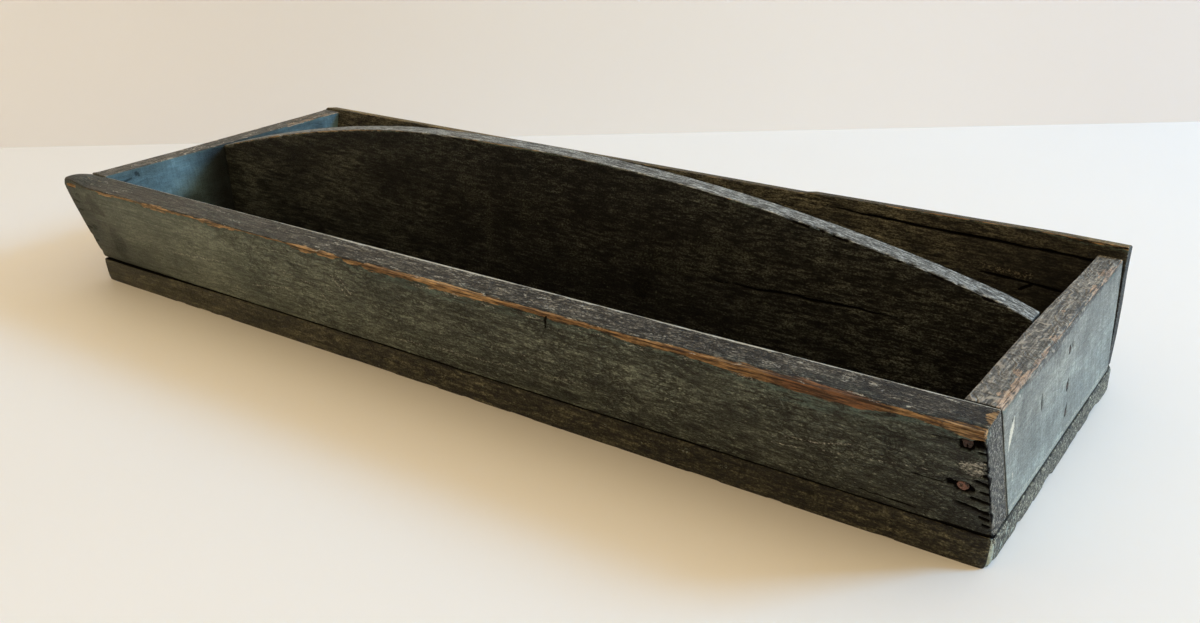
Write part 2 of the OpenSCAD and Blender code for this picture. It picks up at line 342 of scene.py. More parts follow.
def chipped(board, edge, reach, depth, seed, lump=(5, 5, 5), least=0.25):
    """Small chips out of an arris, where edge is the distance from it."""
    chips = smooth(least, least + 0.3, noise(board.p, lump, seed))
    board.sink(depth * chips * smooth(reach, 0, edge))


def weather(board, along, seed, depth=0.18):
    """Hand-planed waviness and raised grain over the whole surface, all inward."""
    grain = np.where(np.arange(3) == along, 30.0, 1.1)
    broad = np.where(np.arange(3) == along, 60.0, 14.0)
    rough = 0.5 + 0.5 * layered(board.p, broad, seed)
    fine = 0.5 + 0.5 * noise(board.p, grain, seed + 5)
    board.sink(depth * (1.6 * np.clip(rough, 0, 1) + 0.5 * np.clip(fine, 0, 1)))


# Materials

class Nodes:
    """Short ways to add shader nodes to one material."""

    def __init__(self, name):
        self.material = bpy.data.materials.new(name)
        self.material.use_nodes = True
        self.tree = self.material.node_tree
        self.shader = self.tree.nodes["Principled BSDF"]
        self.place = self.add("ShaderNodeTexCoord").outputs["Object"]

    def add(self, kind, **settings):
        node = self.tree.nodes.new(kind)
        for key, value in settings.items():
            setattr(node, key, value)
        return node

    def join(self, value, socket):
        if isinstance(value, bpy.types.NodeSocket):
            self.tree.links.new(value, socket)
        else:
            socket.default_value = value

    def math(self, operation, a, b=0.0, clamp=False):
        node = self.add("ShaderNodeMath", operation=operation, use_clamp=clamp)
        self.join(a, node.inputs[0])
        self.join(b, node.inputs[1])
        return node.outputs[0]

    def mix(self, amount, a, b):
        node = self.add("ShaderNodeMix", data_type="RGBA")
        self.join(amount, node.inputs[0])
        for value, socket in ((a, node.inputs[6]), (b, node.inputs[7])):
            self.join(value if isinstance(value, bpy.types.NodeSocket) else (*value, 1), socket)
        return node.outputs[2]

    def span(self, value, low, high, to_low=0.0, to_high=1.0):
        node = self.add("ShaderNodeMapRange", interpolation_type="SMOOTHSTEP")
        for key, item in enumerate((value, low, high, to_low, to_high)):
            self.join(item, node.inputs[key])
        return node.outputs[0]

    def noise(self, stretch, scale, detail=3.0, rough=0.55, distortion=0.0):
        """Noise with the given number of lumps per metre, drawn out along the axes by stretch."""
        mapping = self.add("ShaderNodeMapping")
        mapping.inputs["Scale"].default_value = stretch
        self.join(self.place, mapping.inputs["Vector"])
        node = self.add("ShaderNodeTexNoise")
        self.join(mapping.outputs[0], node.inputs["Vector"])
        node.inputs["Scale"].default_value = scale
        node.inputs["Detail"].default_value = detail
        node.inputs["Roughness"].default_value = rough
        node.inputs["Distortion"].default_value = distortion
        return node.outputs["Fac"]

    def attribute(self, name):
        node = self.add("ShaderNodeAttribute", attribute_name=name)
        parts = self.add("ShaderNodeSeparateColor")
        self.join(node.outputs["Color"], parts.inputs[0])
        return parts.outputs[:3]

    def times(self, colour, factor):
        node = self.add("ShaderNodeVectorMath", operation="SCALE")
        self.join(colour, node.inputs[0])
        self.join(factor, node.inputs[3])
        return node.outputs[0]


WOOD_LIGHT = (0.46, 0.29, 0.13)
WOOD_MID = (0.25, 0.135, 0.05)
WOOD_DEEP = (0.06, 0.03, 0.014)
WOOD_RED = (0.2, 0.085, 0.035)
WOOD_GREY = (0.2, 0.16, 0.105)
OLD_PAINT = (0.07, 0.12, 0.11)
# Near black for dirt, stains and dark joints, and painted shade in the depths of splits, cracks and nail holes
GRIME_AND_PAINTED_SHADE = (0.0025, 0.002, 0.0016)


def painted_wood(name, along, paint, worn_paint, inside, top, end_grain, pale, streaks=0.25,
                 grit=(0.6, 0.6, 0.8, 0.8), flecks=0.5, brushed=None, curls=0.0, crackle=0.0, shine=0.35,
                 woods=(WOOD_DEEP, WOOD_MID, WOOD_LIGHT), roughness=0.62):
    """Old thin paint over softwood whose grain runs along the given axis.

    The four grits are for the outer face, the inner face, the top and the end grain.
    """
    n = Nodes(name)

    def drawn(axis, share):
        return [share if k == axis else 1.0 for k in range(3)]

    grain_axis = along if brushed is None else brushed
    streak = n.noise(drawn(grain_axis, 0.04), 600, 4, 0.7)
    fibre = n.noise(drawn(along, 0.05), 1300, 3, 0.65)
    cloud = n.noise(drawn(along, 0.5), 50, 5, 0.66)
    blotch = n.noise(drawn(along, 0.3), 240, 3, 0.6)
    speck = n.noise(drawn(along, 0.2), 800, 4, 0.75)
    fleck = n.noise(drawn(along, 0.6), 1500, 2, 0.7)
    inner, upper, ends = n.attribute("zone")
    bare, light, dark = n.attribute("wear")
    tone = n.add("ShaderNodeAttribute", attribute_name="tone").outputs["Fac"]
    local_grit = n.add("ShaderNodeAttribute", attribute_name="grit").outputs["Fac"]
    age = n.add("ShaderNodeAttribute", attribute_name="age").outputs["Fac"]

    def varied(colour, low, high, by):
        return n.mix(by, [c * low for c in colour], [min(1.0, c * high) for c in colour])

    mottle = n.span(n.math("ADD", n.math("MULTIPLY", cloud, 0.7), n.math("MULTIPLY", streak, 0.3)), 0.4, 0.6)
    colour = n.mix(mottle, paint, worn_paint)
    colour = n.mix(inner, colour, varied(inside, 0.65, 1.4, n.span(cloud, 0.38, 0.62)))
    colour = n.mix(upper, colour, varied(top, 0.5, 1.6, n.span(fibre, 0.36, 0.66)))
    colour = n.mix(ends, colour, varied(end_grain, 0.5, 1.6, n.span(streak, 0.38, 0.62)))
    colour = n.times(colour, tone)

    amount = grit[0]
    for zone, own in zip((inner, upper, ends), grit[1:]):
        amount = n.math("ADD", n.math("MULTIPLY", zone, own - grit[0]), amount)
    amount = n.math("MULTIPLY", amount, local_grit)

    def uneven(value, low, high, depth, height):
        return n.math("ADD", n.math("MULTIPLY", amount, n.span(value, low, high, -depth, height)), 1.0)

    streaked = n.math("ADD", n.math("MULTIPLY", n.span(streak, 0.3, 0.7, -streaks, streaks), local_grit), 1.0)
    shade = n.math("MULTIPLY", streaked, uneven(blotch, 0.35, 0.65, 0.18, 0.18))
    shade = n.math("MULTIPLY", shade, uneven(speck, 0.36, 0.64, 0.9, 0.95))
    shade = n.math("MAXIMUM", n.math("MULTIPLY", shade, uneven(fleck, 0.32, 0.68, 0.6, 0.7)), 0.06)
    colour = n.times(colour, shade)
    spark = n.math("MULTIPLY", n.span(fleck, 0.6, 0.68), n.span(speck, 0.48, 0.56, 0.0, flecks))
    colour = n.mix(n.math("MULTIPLY", spark, local_grit), colour, (0.3, 0.305, 0.25))
    relief = n.math("ADD", n.math("MULTIPLY", streak, 1.5 * streaks), speck)
    if crackle:
        crinkle = n.noise(drawn(along, 0.6), 300, 3, 0.62, 0.6)
        gap = n.math("ABSOLUTE", n.math("SUBTRACT", crinkle, 0.5))
        dry = n.span(n.noise((1, 1, 1), 45, 2, 0.5), 0.4, 0.6, 0.25, 1.0)
        crack = n.math("MULTIPLY", n.span(gap, 0.015, 0.05, 1.0, 0.0), n.math("MULTIPLY", dry, local_grit))
        crack = n.math("MULTIPLY", crack, n.math("SUBTRACT", 1.0, inner))
        ridge = n.math("MULTIPLY", n.span(gap, 0.05, 0.08), n.span(gap, 0.08, 0.13, 1.0, 0.0))
        ridge = n.math("MULTIPLY", ridge, n.math("MULTIPLY", dry, local_grit))
        colour = n.times(colour, n.math("SUBTRACT", 1.0, n.math("MULTIPLY", crack, crackle)))
        colour = n.times(colour, n.math("ADD", 1.0, n.math("MULTIPLY", ridge, 0.6 * crackle)))
        relief = n.math("SUBTRACT", relief, n.math("MULTIPLY", crack, 0.8))
    if curls:
        swirl = n.noise(drawn(along, 0.7), 110, 2, 0.5, 1.0)
        part = n.noise((1, 1, 1), 190, 2, 0.6)
        ring = n.math("SINE", n.math("MULTIPLY", swirl, 38.0))
        here = n.math("MULTIPLY", upper, n.span(cloud, 0.4, 0.56, 0.45, curls))
        line = n.math("MULTIPLY", n.span(ring, 0.35, 0.9), n.span(part, 0.47, 0.58))
        pit = n.math("MULTIPLY", n.span(ring, -0.3, -0.9), n.span(part, 0.3, 0.5, 0.05, 0.35))
        colour = n.mix(n.math("MULTIPLY", line, here), colour, (0.37, 0.335, 0.275))
        colour = n.mix(n.math("MULTIPLY", pit, here), colour, (0.03, 0.03, 0.027))
        relief = n.math("ADD", relief, n.math("MULTIPLY", n.math("MULTIPLY", ring, upper), 0.25))

    rim = n.math("MULTIPLY", n.span(bare, 0.0, 0.12), n.span(speck, 0.42, 0.58, 0.0, 0.7))
    rim = n.math("MULTIPLY", rim, n.span(upper, 0.0, 1.0, 1.0, 0.25))
    colour = n.mix(rim, colour, OLD_PAINT)
    wood = n.mix(n.span(fibre, 0.38, 0.52), woods[0], woods[1])
    wood = n.mix(n.span(n.math("ADD", n.math("MULTIPLY", fibre, 0.6), n.math("MULTIPLY", cloud, 0.4)), 0.47, 0.6),
                 wood, woods[2])
    wood = n.mix(n.span(age, 0.0, 1.0), wood, n.mix(n.span(fibre, 0.4, 0.6), WOOD_DEEP, WOOD_RED))
    wood = n.mix(n.span(age, 0.0, -1.0), wood, WOOD_GREY)
    wood = n.times(wood, n.math("MULTIPLY", n.span(tone, 0.35, 1.2, 0.72, 1.05), n.span(speck, 0.4, 0.6, 0.6, 1.25)))
    broken = n.math("ADD", n.math("MULTIPLY", speck, 0.5), n.math("MULTIPLY", fibre, 0.5))
    shown = n.span(n.math("ADD", bare, n.math("MULTIPLY", n.math("SUBTRACT", broken, 0.5), 2.5)), 0.4, 0.7)
    colour = n.mix(n.math("MULTIPLY", shown, n.span(bare, 0.02, 0.3)), colour, wood)
    faint = n.span(n.math("ADD", light, n.math("MULTIPLY", n.math("SUBTRACT", fleck, 0.5), 1.8)), 0.15, 0.8)
    colour = n.mix(n.math("MULTIPLY", faint, n.span(light, 0.02, 0.2)), colour, pale)
    # Dark marks: dirt and stains, and painted shade in splits and holes
    colour = n.mix(n.span(dark, 0.05, 0.75), colour, GRIME_AND_PAINTED_SHADE)
    n.join(colour, n.shader.inputs["Base Color"])

    n.join(n.span(n.math("ADD", speck, n.math("MULTIPLY", bare, 0.3)), 0.3, 0.8, roughness - 0.12, roughness + 0.2),
           n.shader.inputs["Roughness"])
    n.join(n.span(dark, 0.1, 0.7, shine, 0.03), n.shader.inputs["Specular IOR Level"])
    relief = n.math("ADD", relief, n.math("MULTIPLY", fleck, 0.5))
    bump = n.add("ShaderNodeBump")
    bump.inputs["Strength"].default_value = 0.9
    bump.inputs["Distance"].default_value = 0.0008
    n.join(relief, bump.inputs["Height"])
    n.join(bump.outputs[0], n.shader.inputs["Normal"])
    return n.material


def rusty_iron(name, shade=1.0, toned=False):
    n = Nodes(name)
    lump = n.noise((1, 1, 1), 800, 4, 0.7)
    grit = n.noise((1, 1, 1), 2600, 2, 0.6)
    dark, rust, glint = ([c * shade for c in colour] for colour in
                         ((0.02, 0.012, 0.009), (0.2, 0.1, 0.075), (0.32, 0.2, 0.16)))
    colour = n.mix(n.span(lump, 0.4, 0.6), dark, rust)
    colour = n.mix(n.span(grit, 0.5, 0.75), colour, glint)
    if toned:
        colour = n.times(colour, n.add("ShaderNodeAttribute", attribute_name="tone").outputs["Fac"])
    n.join(colour, n.shader.inputs["Base Color"])
    n.join(n.span(lump, 0.3, 0.7, 0.6, 0.9), n.shader.inputs["Roughness"])
    n.shader.inputs["Metallic"].default_value = 0.25
    bump = n.add("ShaderNodeBump")
    bump.inputs["Strength"].default_value = 0.8
    bump.inputs["Distance"].default_value = 0.0003
    n.join(n.math("ADD", lump, n.math("MULTIPLY", grit, 0.4)), bump.inputs["Height"])
    n.join(bump.outputs[0], n.shader.inputs["Normal"])
    return n.material


front_paint = painted_wood(
    "front_paint", 0, paint=(0.049, 0.061, 0.0495), worn_paint=(0.094, 0.1115, 0.0915), streaks=0.2,
    grit=(0.9, 0.6, 1.35, 1.05), inside=(0.035, 0.034, 0.028), top=(0.055, 0.0515, 0.0425),
    end_grain=(0.09, 0.086, 0.073), pale=(0.5, 0.5, 0.44), flecks=0.45, crackle=0.6)
back_paint = painted_wood(
    "back_paint", 0, paint=(0.05, 0.058, 0.05), worn_paint=(0.085, 0.095, 0.08), streaks=0.4,
    grit=(0.6, 0.95, 0.9, 0.8), flecks=0.02, inside=(0.0435, 0.0425, 0.0305), top=(0.15, 0.112, 0.05), shine=0.2,
    end_grain=(0.11, 0.12, 0.115), pale=(0.34, 0.3, 0.2))
divider_paint = painted_wood(
    "divider_paint", 0, paint=(0.009, 0.0102, 0.009), worn_paint=(0.0235, 0.0265, 0.023), streaks=0.2,
    grit=(1.35, 0.8, 0.8, 0.8), inside=(0.03, 0.03, 0.024), top=(0.158, 0.168, 0.164), end_grain=(0.1, 0.1, 0.09),
    pale=(0.06, 0.07, 0.05), flecks=0.12, shine=0.2)
bottom_paint = painted_wood(
    "bottom_paint", 0, paint=(0.025, 0.0255, 0.016), worn_paint=(0.062, 0.061, 0.0395), streaks=0.3,
    grit=(1.05, 0.7, 0.9, 1.1), inside=(0.022, 0.02, 0.016), top=(0.06, 0.058, 0.045),
    end_grain=(0.098, 0.1, 0.08), pale=(0.42, 0.5, 0.45), flecks=0.2, crackle=0.3)
end_paint = painted_wood(
    "end_paint", 1, paint=(0.172, 0.184, 0.169), worn_paint=(0.252, 0.264, 0.237), streaks=0.12,
    grit=(0.32, 0.05, 0.65, 0.8), brushed=2, inside=(0.115, 0.195, 0.225), top=(0.124, 0.118, 0.101),
    end_grain=(0.1, 0.1, 0.09), pale=(0.62, 0.6, 0.5), curls=1.0, flecks=0.05,
    woods=((0.13, 0.085, 0.06), (0.33, 0.235, 0.165), (0.52, 0.4, 0.29)))
head_iron = rusty_iron("head_iron", toned=True)
iron = rusty_iron("rusty_iron", 0.3)


# Nails

HEAD_DIPS = (0.75, 0.5)
HEAD_TONES = (0.3, 1.05)
LEFT_TONE = 0.5
LEFT_DIP = 1.1


def head_spots(end, drops):
    """Places of the corner nails' heads along X and Z."""
    return [(end_face(end, z) - end * CORNER_INSET + shift - MIDDLE[0], z) for z, shift in drops]


UPPER_NAIL = RIM_H - CORNER_TOP_GAP
LOWER_NAIL = UPPER_NAIL - CORNER_PITCH
HEADS = {(side, end): head_spots(end, ((UPPER_NAIL, 0), (LOWER_NAIL, 0))) for side in (FRONT, BACK) for end in (LEFT, RIGHT)}
HEADS[FRONT, RIGHT] = head_spots(RIGHT, ((UPPER_NAIL - 1.2, 0.5), (LOWER_NAIL, -2.0)))
BRADS = {end: [(BRAD_SHIFT - DIVIDER_SHIFT - MIDDLE[1], BOTTOM_T + height) for height in BRAD_HEIGHTS]
         for end in (LEFT, RIGHT)}


def nail_skin(side, spot, dip, seed):
    """A hammered head and tapered shank, driven level, its head lying with the leaning board."""
    turn = np.linspace(0, 2 * math.pi, NAIL_SIDES, endpoint=False)
    ring = np.column_stack([np.cos(turn), np.sin(turn)])
    profile = ((0.35, 0.0), (0.9, 0.0), (1.5, 0.1), (1.85, 0.35), (2.1, 0.7), (2.2, 0.9))
    rings = [(ring * r, depth, 1.0) for r, depth in profile]
    square = ring / np.maximum(np.abs(ring[:, :1]) / (SHANK_W / 2), np.abs(ring[:, 1:]) / (SHANK_T / 2))
    tip = ring / np.maximum(np.abs(ring[:, :1]) / (TIP_W / 2), np.abs(ring[:, 1:]) / (SHANK_T / 2))
    rings += [(square, 1.3, 0.0), (square, 1.6, 0.0), (tip, NAIL_LEN, 0.0)]
    points = []
    for flat, depth, tilt in rings:
        face = side_inside(spot[1] + tilt * flat[:, 1]) + (FRONT_LEVEL_T if side == FRONT else BACK_LEVEL_T)
        y = side * (face - dip - depth) - MIDDLE[1]
        points.append(np.column_stack([spot[0] + flat[:, 0], y, spot[1] + flat[:, 1]]))
    points = np.concatenate(points)
    head = np.arange(len(points)) < len(profile) * NAIL_SIDES
    points[:, 1] -= side * 0.5 * np.clip(noise(points, 1.1, seed) + 0.3, 0, 1) * head
    points[:, 0] += 0.3 * noise(points, 1.3, seed + 1) * head
    faces = [tuple(range(NAIL_SIDES))[::-1], tuple(range(len(points) - NAIL_SIDES, len(points)))]
    for start in range(0, len(points) - NAIL_SIDES, NAIL_SIDES):
        for i in range(NAIL_SIDES):
            j = (i + 1) % NAIL_SIDES
            faces.append((start + i, start + j, start + NAIL_SIDES + j, start + NAIL_SIDES + i))
    if side == BACK:
        faces = [face[::-1] for face in faces]
    return points, faces


def corner_nails(side, end):
    name = ("front" if side == FRONT else "back") + ("_left" if end == LEFT else "_right") + "_corner_nails"
    points, faces, tones = [], [], []
    for k, spot in enumerate(HEADS[side, end]):
        dip = LEFT_DIP if end == LEFT else HEAD_DIPS[k]
        skin, skin_faces = nail_skin(side, spot, dip, 700 + 10 * k + side + 2 * end)
        faces += [tuple(v + len(points) for v in face) for face in skin_faces]
        points += [tuple(p * MM) for p in skin]
        tones += [LEFT_TONE if end == LEFT else HEAD_TONES[k]] * len(skin)
    mesh = bpy.data.meshes.new(name + "_worn")
    mesh.from_pydata(points, [], faces)
    mesh.attributes.new("tone", "FLOAT", "POINT")
    mesh.attributes["tone"].data.foreach_set("value", tones)
    mesh.materials.append(head_iron)
    mesh.shade_smooth()
    piece = bpy.data.objects.new(name + "_worn", mesh)
    bpy.context.scene.collection.objects.link(piece)
    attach(piece, "root")
    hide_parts(name)
    return piece


# Boards

def at(x, places, values):
    return np.interp(x, places, values)


def side_place(side, top, fall, level_t):
    """Places a side board's length, height and thickness in the box; thickness runs outward."""
    def place(a, b, c):
        crest = top(lerp(LEFT, RIGHT, a) * BOX_LEN / 2) - fall(a, c)
        z = BOTTOM_T + b * (crest - BOTTOM_T)
        x = lerp(end_face(LEFT, z), end_face(RIGHT, z), a)
        return x, side * (side_inside(z) + c * level_t), z
    return place


def split_zones(board, inner_face, top_face, end_faces):
    board.zone[:, INNER] = inner_face
    board.zone[:, TOP] = top_face
    board.zone[:, END] = end_faces


def front_board():
    length, height, thick = size = (BOX_LEN, (RIM_H - BOTTOM_T) / math.cos(SPLAY), FRONT_T)

    def fall(a, c):
        handled = smooth(0.04, 0.01, a)
        return lerp(FRONT_FALL * c, 0.7 - 1.3 * np.sin(math.pi * np.clip(c, 0, 1)) - 1.8 * c, handled)

    def radius(raw, p):
        a, b, c = raw.T
        outer = smooth(0.2, 0.8, c)
        r = lerp(0.4, 1.2, outer * smooth(0.1, 0.6, b)) + 0.4 * outer * (noise(p, 14, 3) + 0.4)
        r = r + outer * smooth(0.5, 0.9, b) * (1.1 * smooth(0.035, 0.0, a) + 0.5 * smooth(0.97, 1, a))
        r = r + 0.5 * smooth(0.3, 0.0, b) * smooth(0.06, 0.0, a)
        return np.maximum(r, 0.3)

    straight = side_place(FRONT, lambda x: RIM_H + 0 * x, fall, FRONT_LEVEL_T)

    def place(a, b, c):
        x, y, z = straight(a, b, c)
        return x - smooth(0.02, 0.0, a) * at(z, [12, 22, 32, 46, 54, 59], [0.2, 0.8, 1.6, 1.8, 1.0, 0.0]), y, z

    board = Board(size, ((8, 0.5, 0.8), (4, 0.4, 0.55), (4, 0.4, 0.9)), place, radius,
                  corners=(((0, 1), (0, 1), 1.0), ((0, 1), (0, 0), 1.2), ((0, 1), (1, 1), 0.5), ((0, 1), (1, 0), 0.8)),
                  end_radius=0.6)
    a, b, c = board.raw.T
    down, across, from_left = (1 - b) * height, (1 - c) * thick, a * length
    from_right = length - from_left
    outer, upper = (c > 0.98) * 1.0, (b > 0.995) * 1.0
    split_zones(board, (c < 0.02) * 1.0, upper, ((a < 0.001) | (a > 0.999)) * 1.0)
    weather(board, 0, 11, 0.12)
    x, y, z = board.p.T

    # Brightness along the outer face: lighter toward the left and darker toward the right, darker just under the top
    # arris and low near the foot, lighter high up toward the right
    outer_tone = at(x, [-250, -232, -205, -150, -90, -30, 30, 80, 150, 190, 215, 235, 250],
              [0.66, 0.92, 1.42, 1.59, 1.22, 0.93, 0.8, 0.73, 0.56, 0.45, 0.41, 0.4, 0.4])
    outer_tone = outer_tone * (1 + 0.2 * layered(board.p, (60, 20, 20), 13)) * (1 + 0.12 * layered(board.p, (16, 9, 9), 113))
    outer_tone = outer_tone * lerp(0.85, 1, smooth(1, 8, down))
    outer_tone = outer_tone * at(z, [12, 15, 20, 27, 34, 44, 52], [0.98, 0.84, 0.86, 0.98, 1.0, 1.03, 1.0])
    outer_tone = outer_tone * lerp(1, 1.14, smooth(60, 120, x) * smooth(235, 215, x) * smooth(30, 42, z))
    along_top = at(x, [-250, -232, -205, -175, -145, -50, 0, 120, 190, 220, 250],
                   [0.9, 1.08, 0.94, 1.14, 1.15, 0.95, 1.06, 0.85, 0.72, 0.52, 0.46])
    along_top = along_top * lerp(1.08, lerp(0.92, 0.72, smooth(120, 190, x)), smooth(0.5, 0.95, c))
    board.tone = np.where(c > 0.98, outer_tone, np.where(upper > 0, along_top, 1.0))
    board.tone = board.tone * (1 + 0.25 * layered(board.p, (16, 7, 7), 14) * upper)
    board.grit = at(x, [-250, -150, -40, 60, 250], [0.32, 0.42, 0.85, 1.05, 1.1])
    board.age = at(x, [-244, -235, -120, 20, 120, 160, 177, 208, 220, 250],
                   [0.1, -0.4, -0.4, -0.15, 0.0, 0.05, 0.8, 0.8, 0.1, 0.0])
    joint = (c > 0.9) * smooth(1.0, 0.3, (height - down) / lerp(1, 1.9, smooth(222, 236, x)))
    board.add_wear(DARK, 0.6 * joint * smooth(-0.9, 0.1, layered(board.p, (14, 9, 9), 214)))
    board.add_wear(DARK, joint * smooth(222, 236, x))

    # Bare wood where the outer top arris is rubbed through, broken toward the left
    places = [-250, -226, -222, -212, -209, -191, -187, -184, -168, -165, -147, -143, -139, -126, -123, -112,
              -108, -78, -74, -48, -43, -38, -20, -2, 4, 10, 60, 105, 126, 145, 160, 172, 180, 190, 206, 214,
              225, 235, 249]
    widths = [0, 0.2, 2.3, 2.3, 1.4, 1.6, 1.0, 3.1, 2.9, 1.7, 2.1, 1.0, 3.1, 2.9, 1.9, 1.9,
              1.0, 1.1, 2.9, 2.6, .6, 3.2, 4.2, 4.0, 3.0, 3.8, 3.0, 3.0, 2.5, 3.2, 4.4, 4.8, 5.9, 6.0, 4.6, 2.8,
              2.4, 4.0, 6.2]
    width = at(x, places, widths)
    over_top = width * at(x, [-250, 130, 190, 250], [0.7, 0.7, 0.9, 0.7])
    for part, lump in ((smooth(-25, -35, x), (6, 2.5, 2.5)), (smooth(-35, -25, x), (20, 3, 3))):
        rubbed(board, down, across, width * part, over_top * part, 15, deep=0.4, lump=lump)
    board.wear[:, BARE] *= at(x, [-250, -145, -50, 0, 150, 180], [0.74, 0.76, 0.85, 0.9, 0.95, 1.0])
    patch(board, outer, (0, 2), (-246, 56.7), (5, 1.3), BARE, 1.0, 0.5, 17)
    patch(board, upper, (0, 1), (-226, -78), (4, 1.6), BARE, 0.7, 0.6, 18)
    board.add_wear(BARE, 0.22 * upper * smooth(-40, -130, x) * smooth(-0.3, 0.3, layered(board.p, (14, 5, 5), 218)))
    rubbed(board, thick - across, down, at(x, [-250, -120, -40, 150, 250], [0.5, 0.6, 1.5, 1.3, 0.7]),
           np.full(len(x), 1.0), 19, 0.1, 1.0, PALE, (16, 4, 4))
    groove(board, outer, (0, 2), [(-30, 55.4), (60, 54.2), (110, 53.6), (165, 53.8)], 1.3, 0.0, DARK, 0.3, 0.8, 20)
    for k in range(9):
        patch(board, outer, (0, 2), (5 + 19 * k + 5 * math.sin(5 * k), 53.6 + 0.6 * math.sin(3 * k)), (6, 0.9), PALE,
              0.22, 0.9, 220 + k, 3)

    # Checks, a dark streak and worn nail holes near the right end; the checks and holes are painted near black, as
    # shade in their depths
    for points, width, depth, seed in (
            ([(242, 50.9), (250, 52.2)], 1.9, 1.2, 22),
            ([(242.5, 27.2), (250.5, 26.6)], 1.1, 1.4, 23), ([(237.5, 24.0), (244, 23.4), (250.5, 21.6)], 1.1, 1.4, 24),
            ([(245.5, 48.4), (250, 48.2)], 0.7, 0.7, 25), ([(244.5, 35.8), (250.3, 34.8)], 1.1, 1.2, 26),
            ([(246, 19.4), (250.5, 18.6)], 0.9, 1.2, 27), ([(247, 16.4), (250.5, 16.0)], 0.9, 0.8, 28),
            ([(247, 38.4), (250.3, 38.0)], 0.7, 0.8, 29), ([(246, 31.0), (250.3, 30.6)], 0.8, 0.9, 30),
            ([(222, 31.0), (236, 31.2)], 0.4, 0.4, 31), ([(200, 16.2), (226, 14.6)], 0.4, 0.4, 131),
            ([(247.2, 45.0), (250.2, 44.6)], 0.6, 0.7, 132), ([(247.8, 41.3), (250.2, 41.0)], 0.6, 0.6, 133)):
        groove(board, outer, (0, 2), points, width, depth, DARK, 1.0, 0.4, seed)
    groove(board, outer, (0, 2), [(229, 50.6), (236, 51.3), (246, 51.6)], 1.2, 0.4, DARK, 0.5, 0.5, 21)
    chipped(board, from_right + across * 0.6, 3.0, 1.0, 33, (40, 40, 2.8), 0.1)
    ragged = (a > 0.999) * smooth(3.0, 1.2, across + 1.6 * noise(board.p, (5, 5, 1.6), 233))
    board.add_wear(DARK, 0.75 * ragged * smooth(16, 20, z) * smooth(54, 50, z))
    for k, low in enumerate((239.6, 238.8, 239.5, 239.2, 240.6)):
        groove(board, outer, (0, 2), [(low, 42.3 - 0.95 * k), (248.8, 44.4 - 1.3 * k)], 0.9, 0.1, PALE, 0.45, 0.6, 350 + k)
    for spot, reach, depth in (((236.4, 32.2), (1.6, 1.4), 1.3), ((243.2, 31.0), (2.0, 1.6), 1.5),
                               ((246.4, 51.9), (2.8, 1.5), 1.4)):
        patch(board, outer, (0, 2), spot, reach, DARK, 1.0, 0.35, 37, 3, depth)
    for spot, reach in zip(HEADS[FRONT, RIGHT], ((3.4, 2.6), (2.9, 2.3))):
        patch(board, outer, (0, 2), spot, reach, DARK, 0.9, 0.5, 39, 3, 0.95)
    for spot in HEADS[FRONT, LEFT]:
        patch(board, outer, (0, 2), spot, (2.0, 1.6), DARK, 0.25, 0.4, 40, 3, 0.5)
    for height_z in (46.5, 41.3, 30.3, 22.0):
        groove(board, outer, (0, 2), [(-251, height_z + 0.8), (-245.5, height_z)], 0.9, 0.6, DARK, 0.5, 0.5,
               int(140 + height_z))
    chipped(board, from_left + across * 0.6, 2.2, 0.4, 42, (40, 40, 5), 0.3)
    joint = (a > 0.999) * smooth(1.1, 0.4, c * thick)
    board.add_wear(DARK, joint)
    board.sink(0.4 * joint)

    # Scratches and rubs over the front
    for points, width, strength, seed in (
            ([(-54, 46), (-46, 34)], 0.6, 0.5, 43), ([(-48.5, 45), (-43.4, 36)], 0.5, 0.5, 44),
            ([(-60, 39), (-53, 30)], 0.5, 0.45, 45), ([(-33, 17.5), (28, 21.5), (92, 26)], 1.3, 0.2, 46),
            ([(171, 30), (188, 31.5), (204, 36.5)], 0.4, 0.45, 47), ([(168, 25.6), (181, 26.8)], 0.4, 0.45, 48),
            ([(186, 28), (230, 35)], 0.4, 0.3, 49), ([(-120, 24), (-86, 30)], 0.5, 0.35, 50),
            ([(-96, 40), (-60, 35)], 0.5, 0.3, 55), ([(-66, 33), (-58, 22)], 0.6, 0.35, 56),
            ([(30, 30), (75, 33)], 0.4, 0.3, 57), ([(-180, 30), (-130, 34)], 0.6, 0.3, 58)):
        groove(board, outer, (0, 2), points, width, 0.1, PALE, strength, 0.5, seed)
    groove(board, outer, (0, 2), [(72.3, 56), (70.3, 48.4)], 0.6, 0.4, DARK, 0.9, 0.3, 51)
    groove(board, outer, (0, 2), [(-83, 47), (-73, 40)], 2.0, 0.2, DARK, 0.4, 0.8, 52)
    groove(board, outer, (0, 2), [(-104, 51), (-88, 45)], 3.0, 0.0, DARK, 0.3, 1.5, 59)
    for spot, reach, seed in (((-232, 47), (7, 6), 160), ((-226, 24), (6, 12), 161), ((-120, 50), (9, 3), 162),
                              ((60, 16), (30, 3), 163), ((215, 46), (14, 4), 164), ((20, 44), (10, 5), 165)):
        patch(board, outer, (0, 2), spot, reach, DARK, 0.3, 0.9, seed, 6)

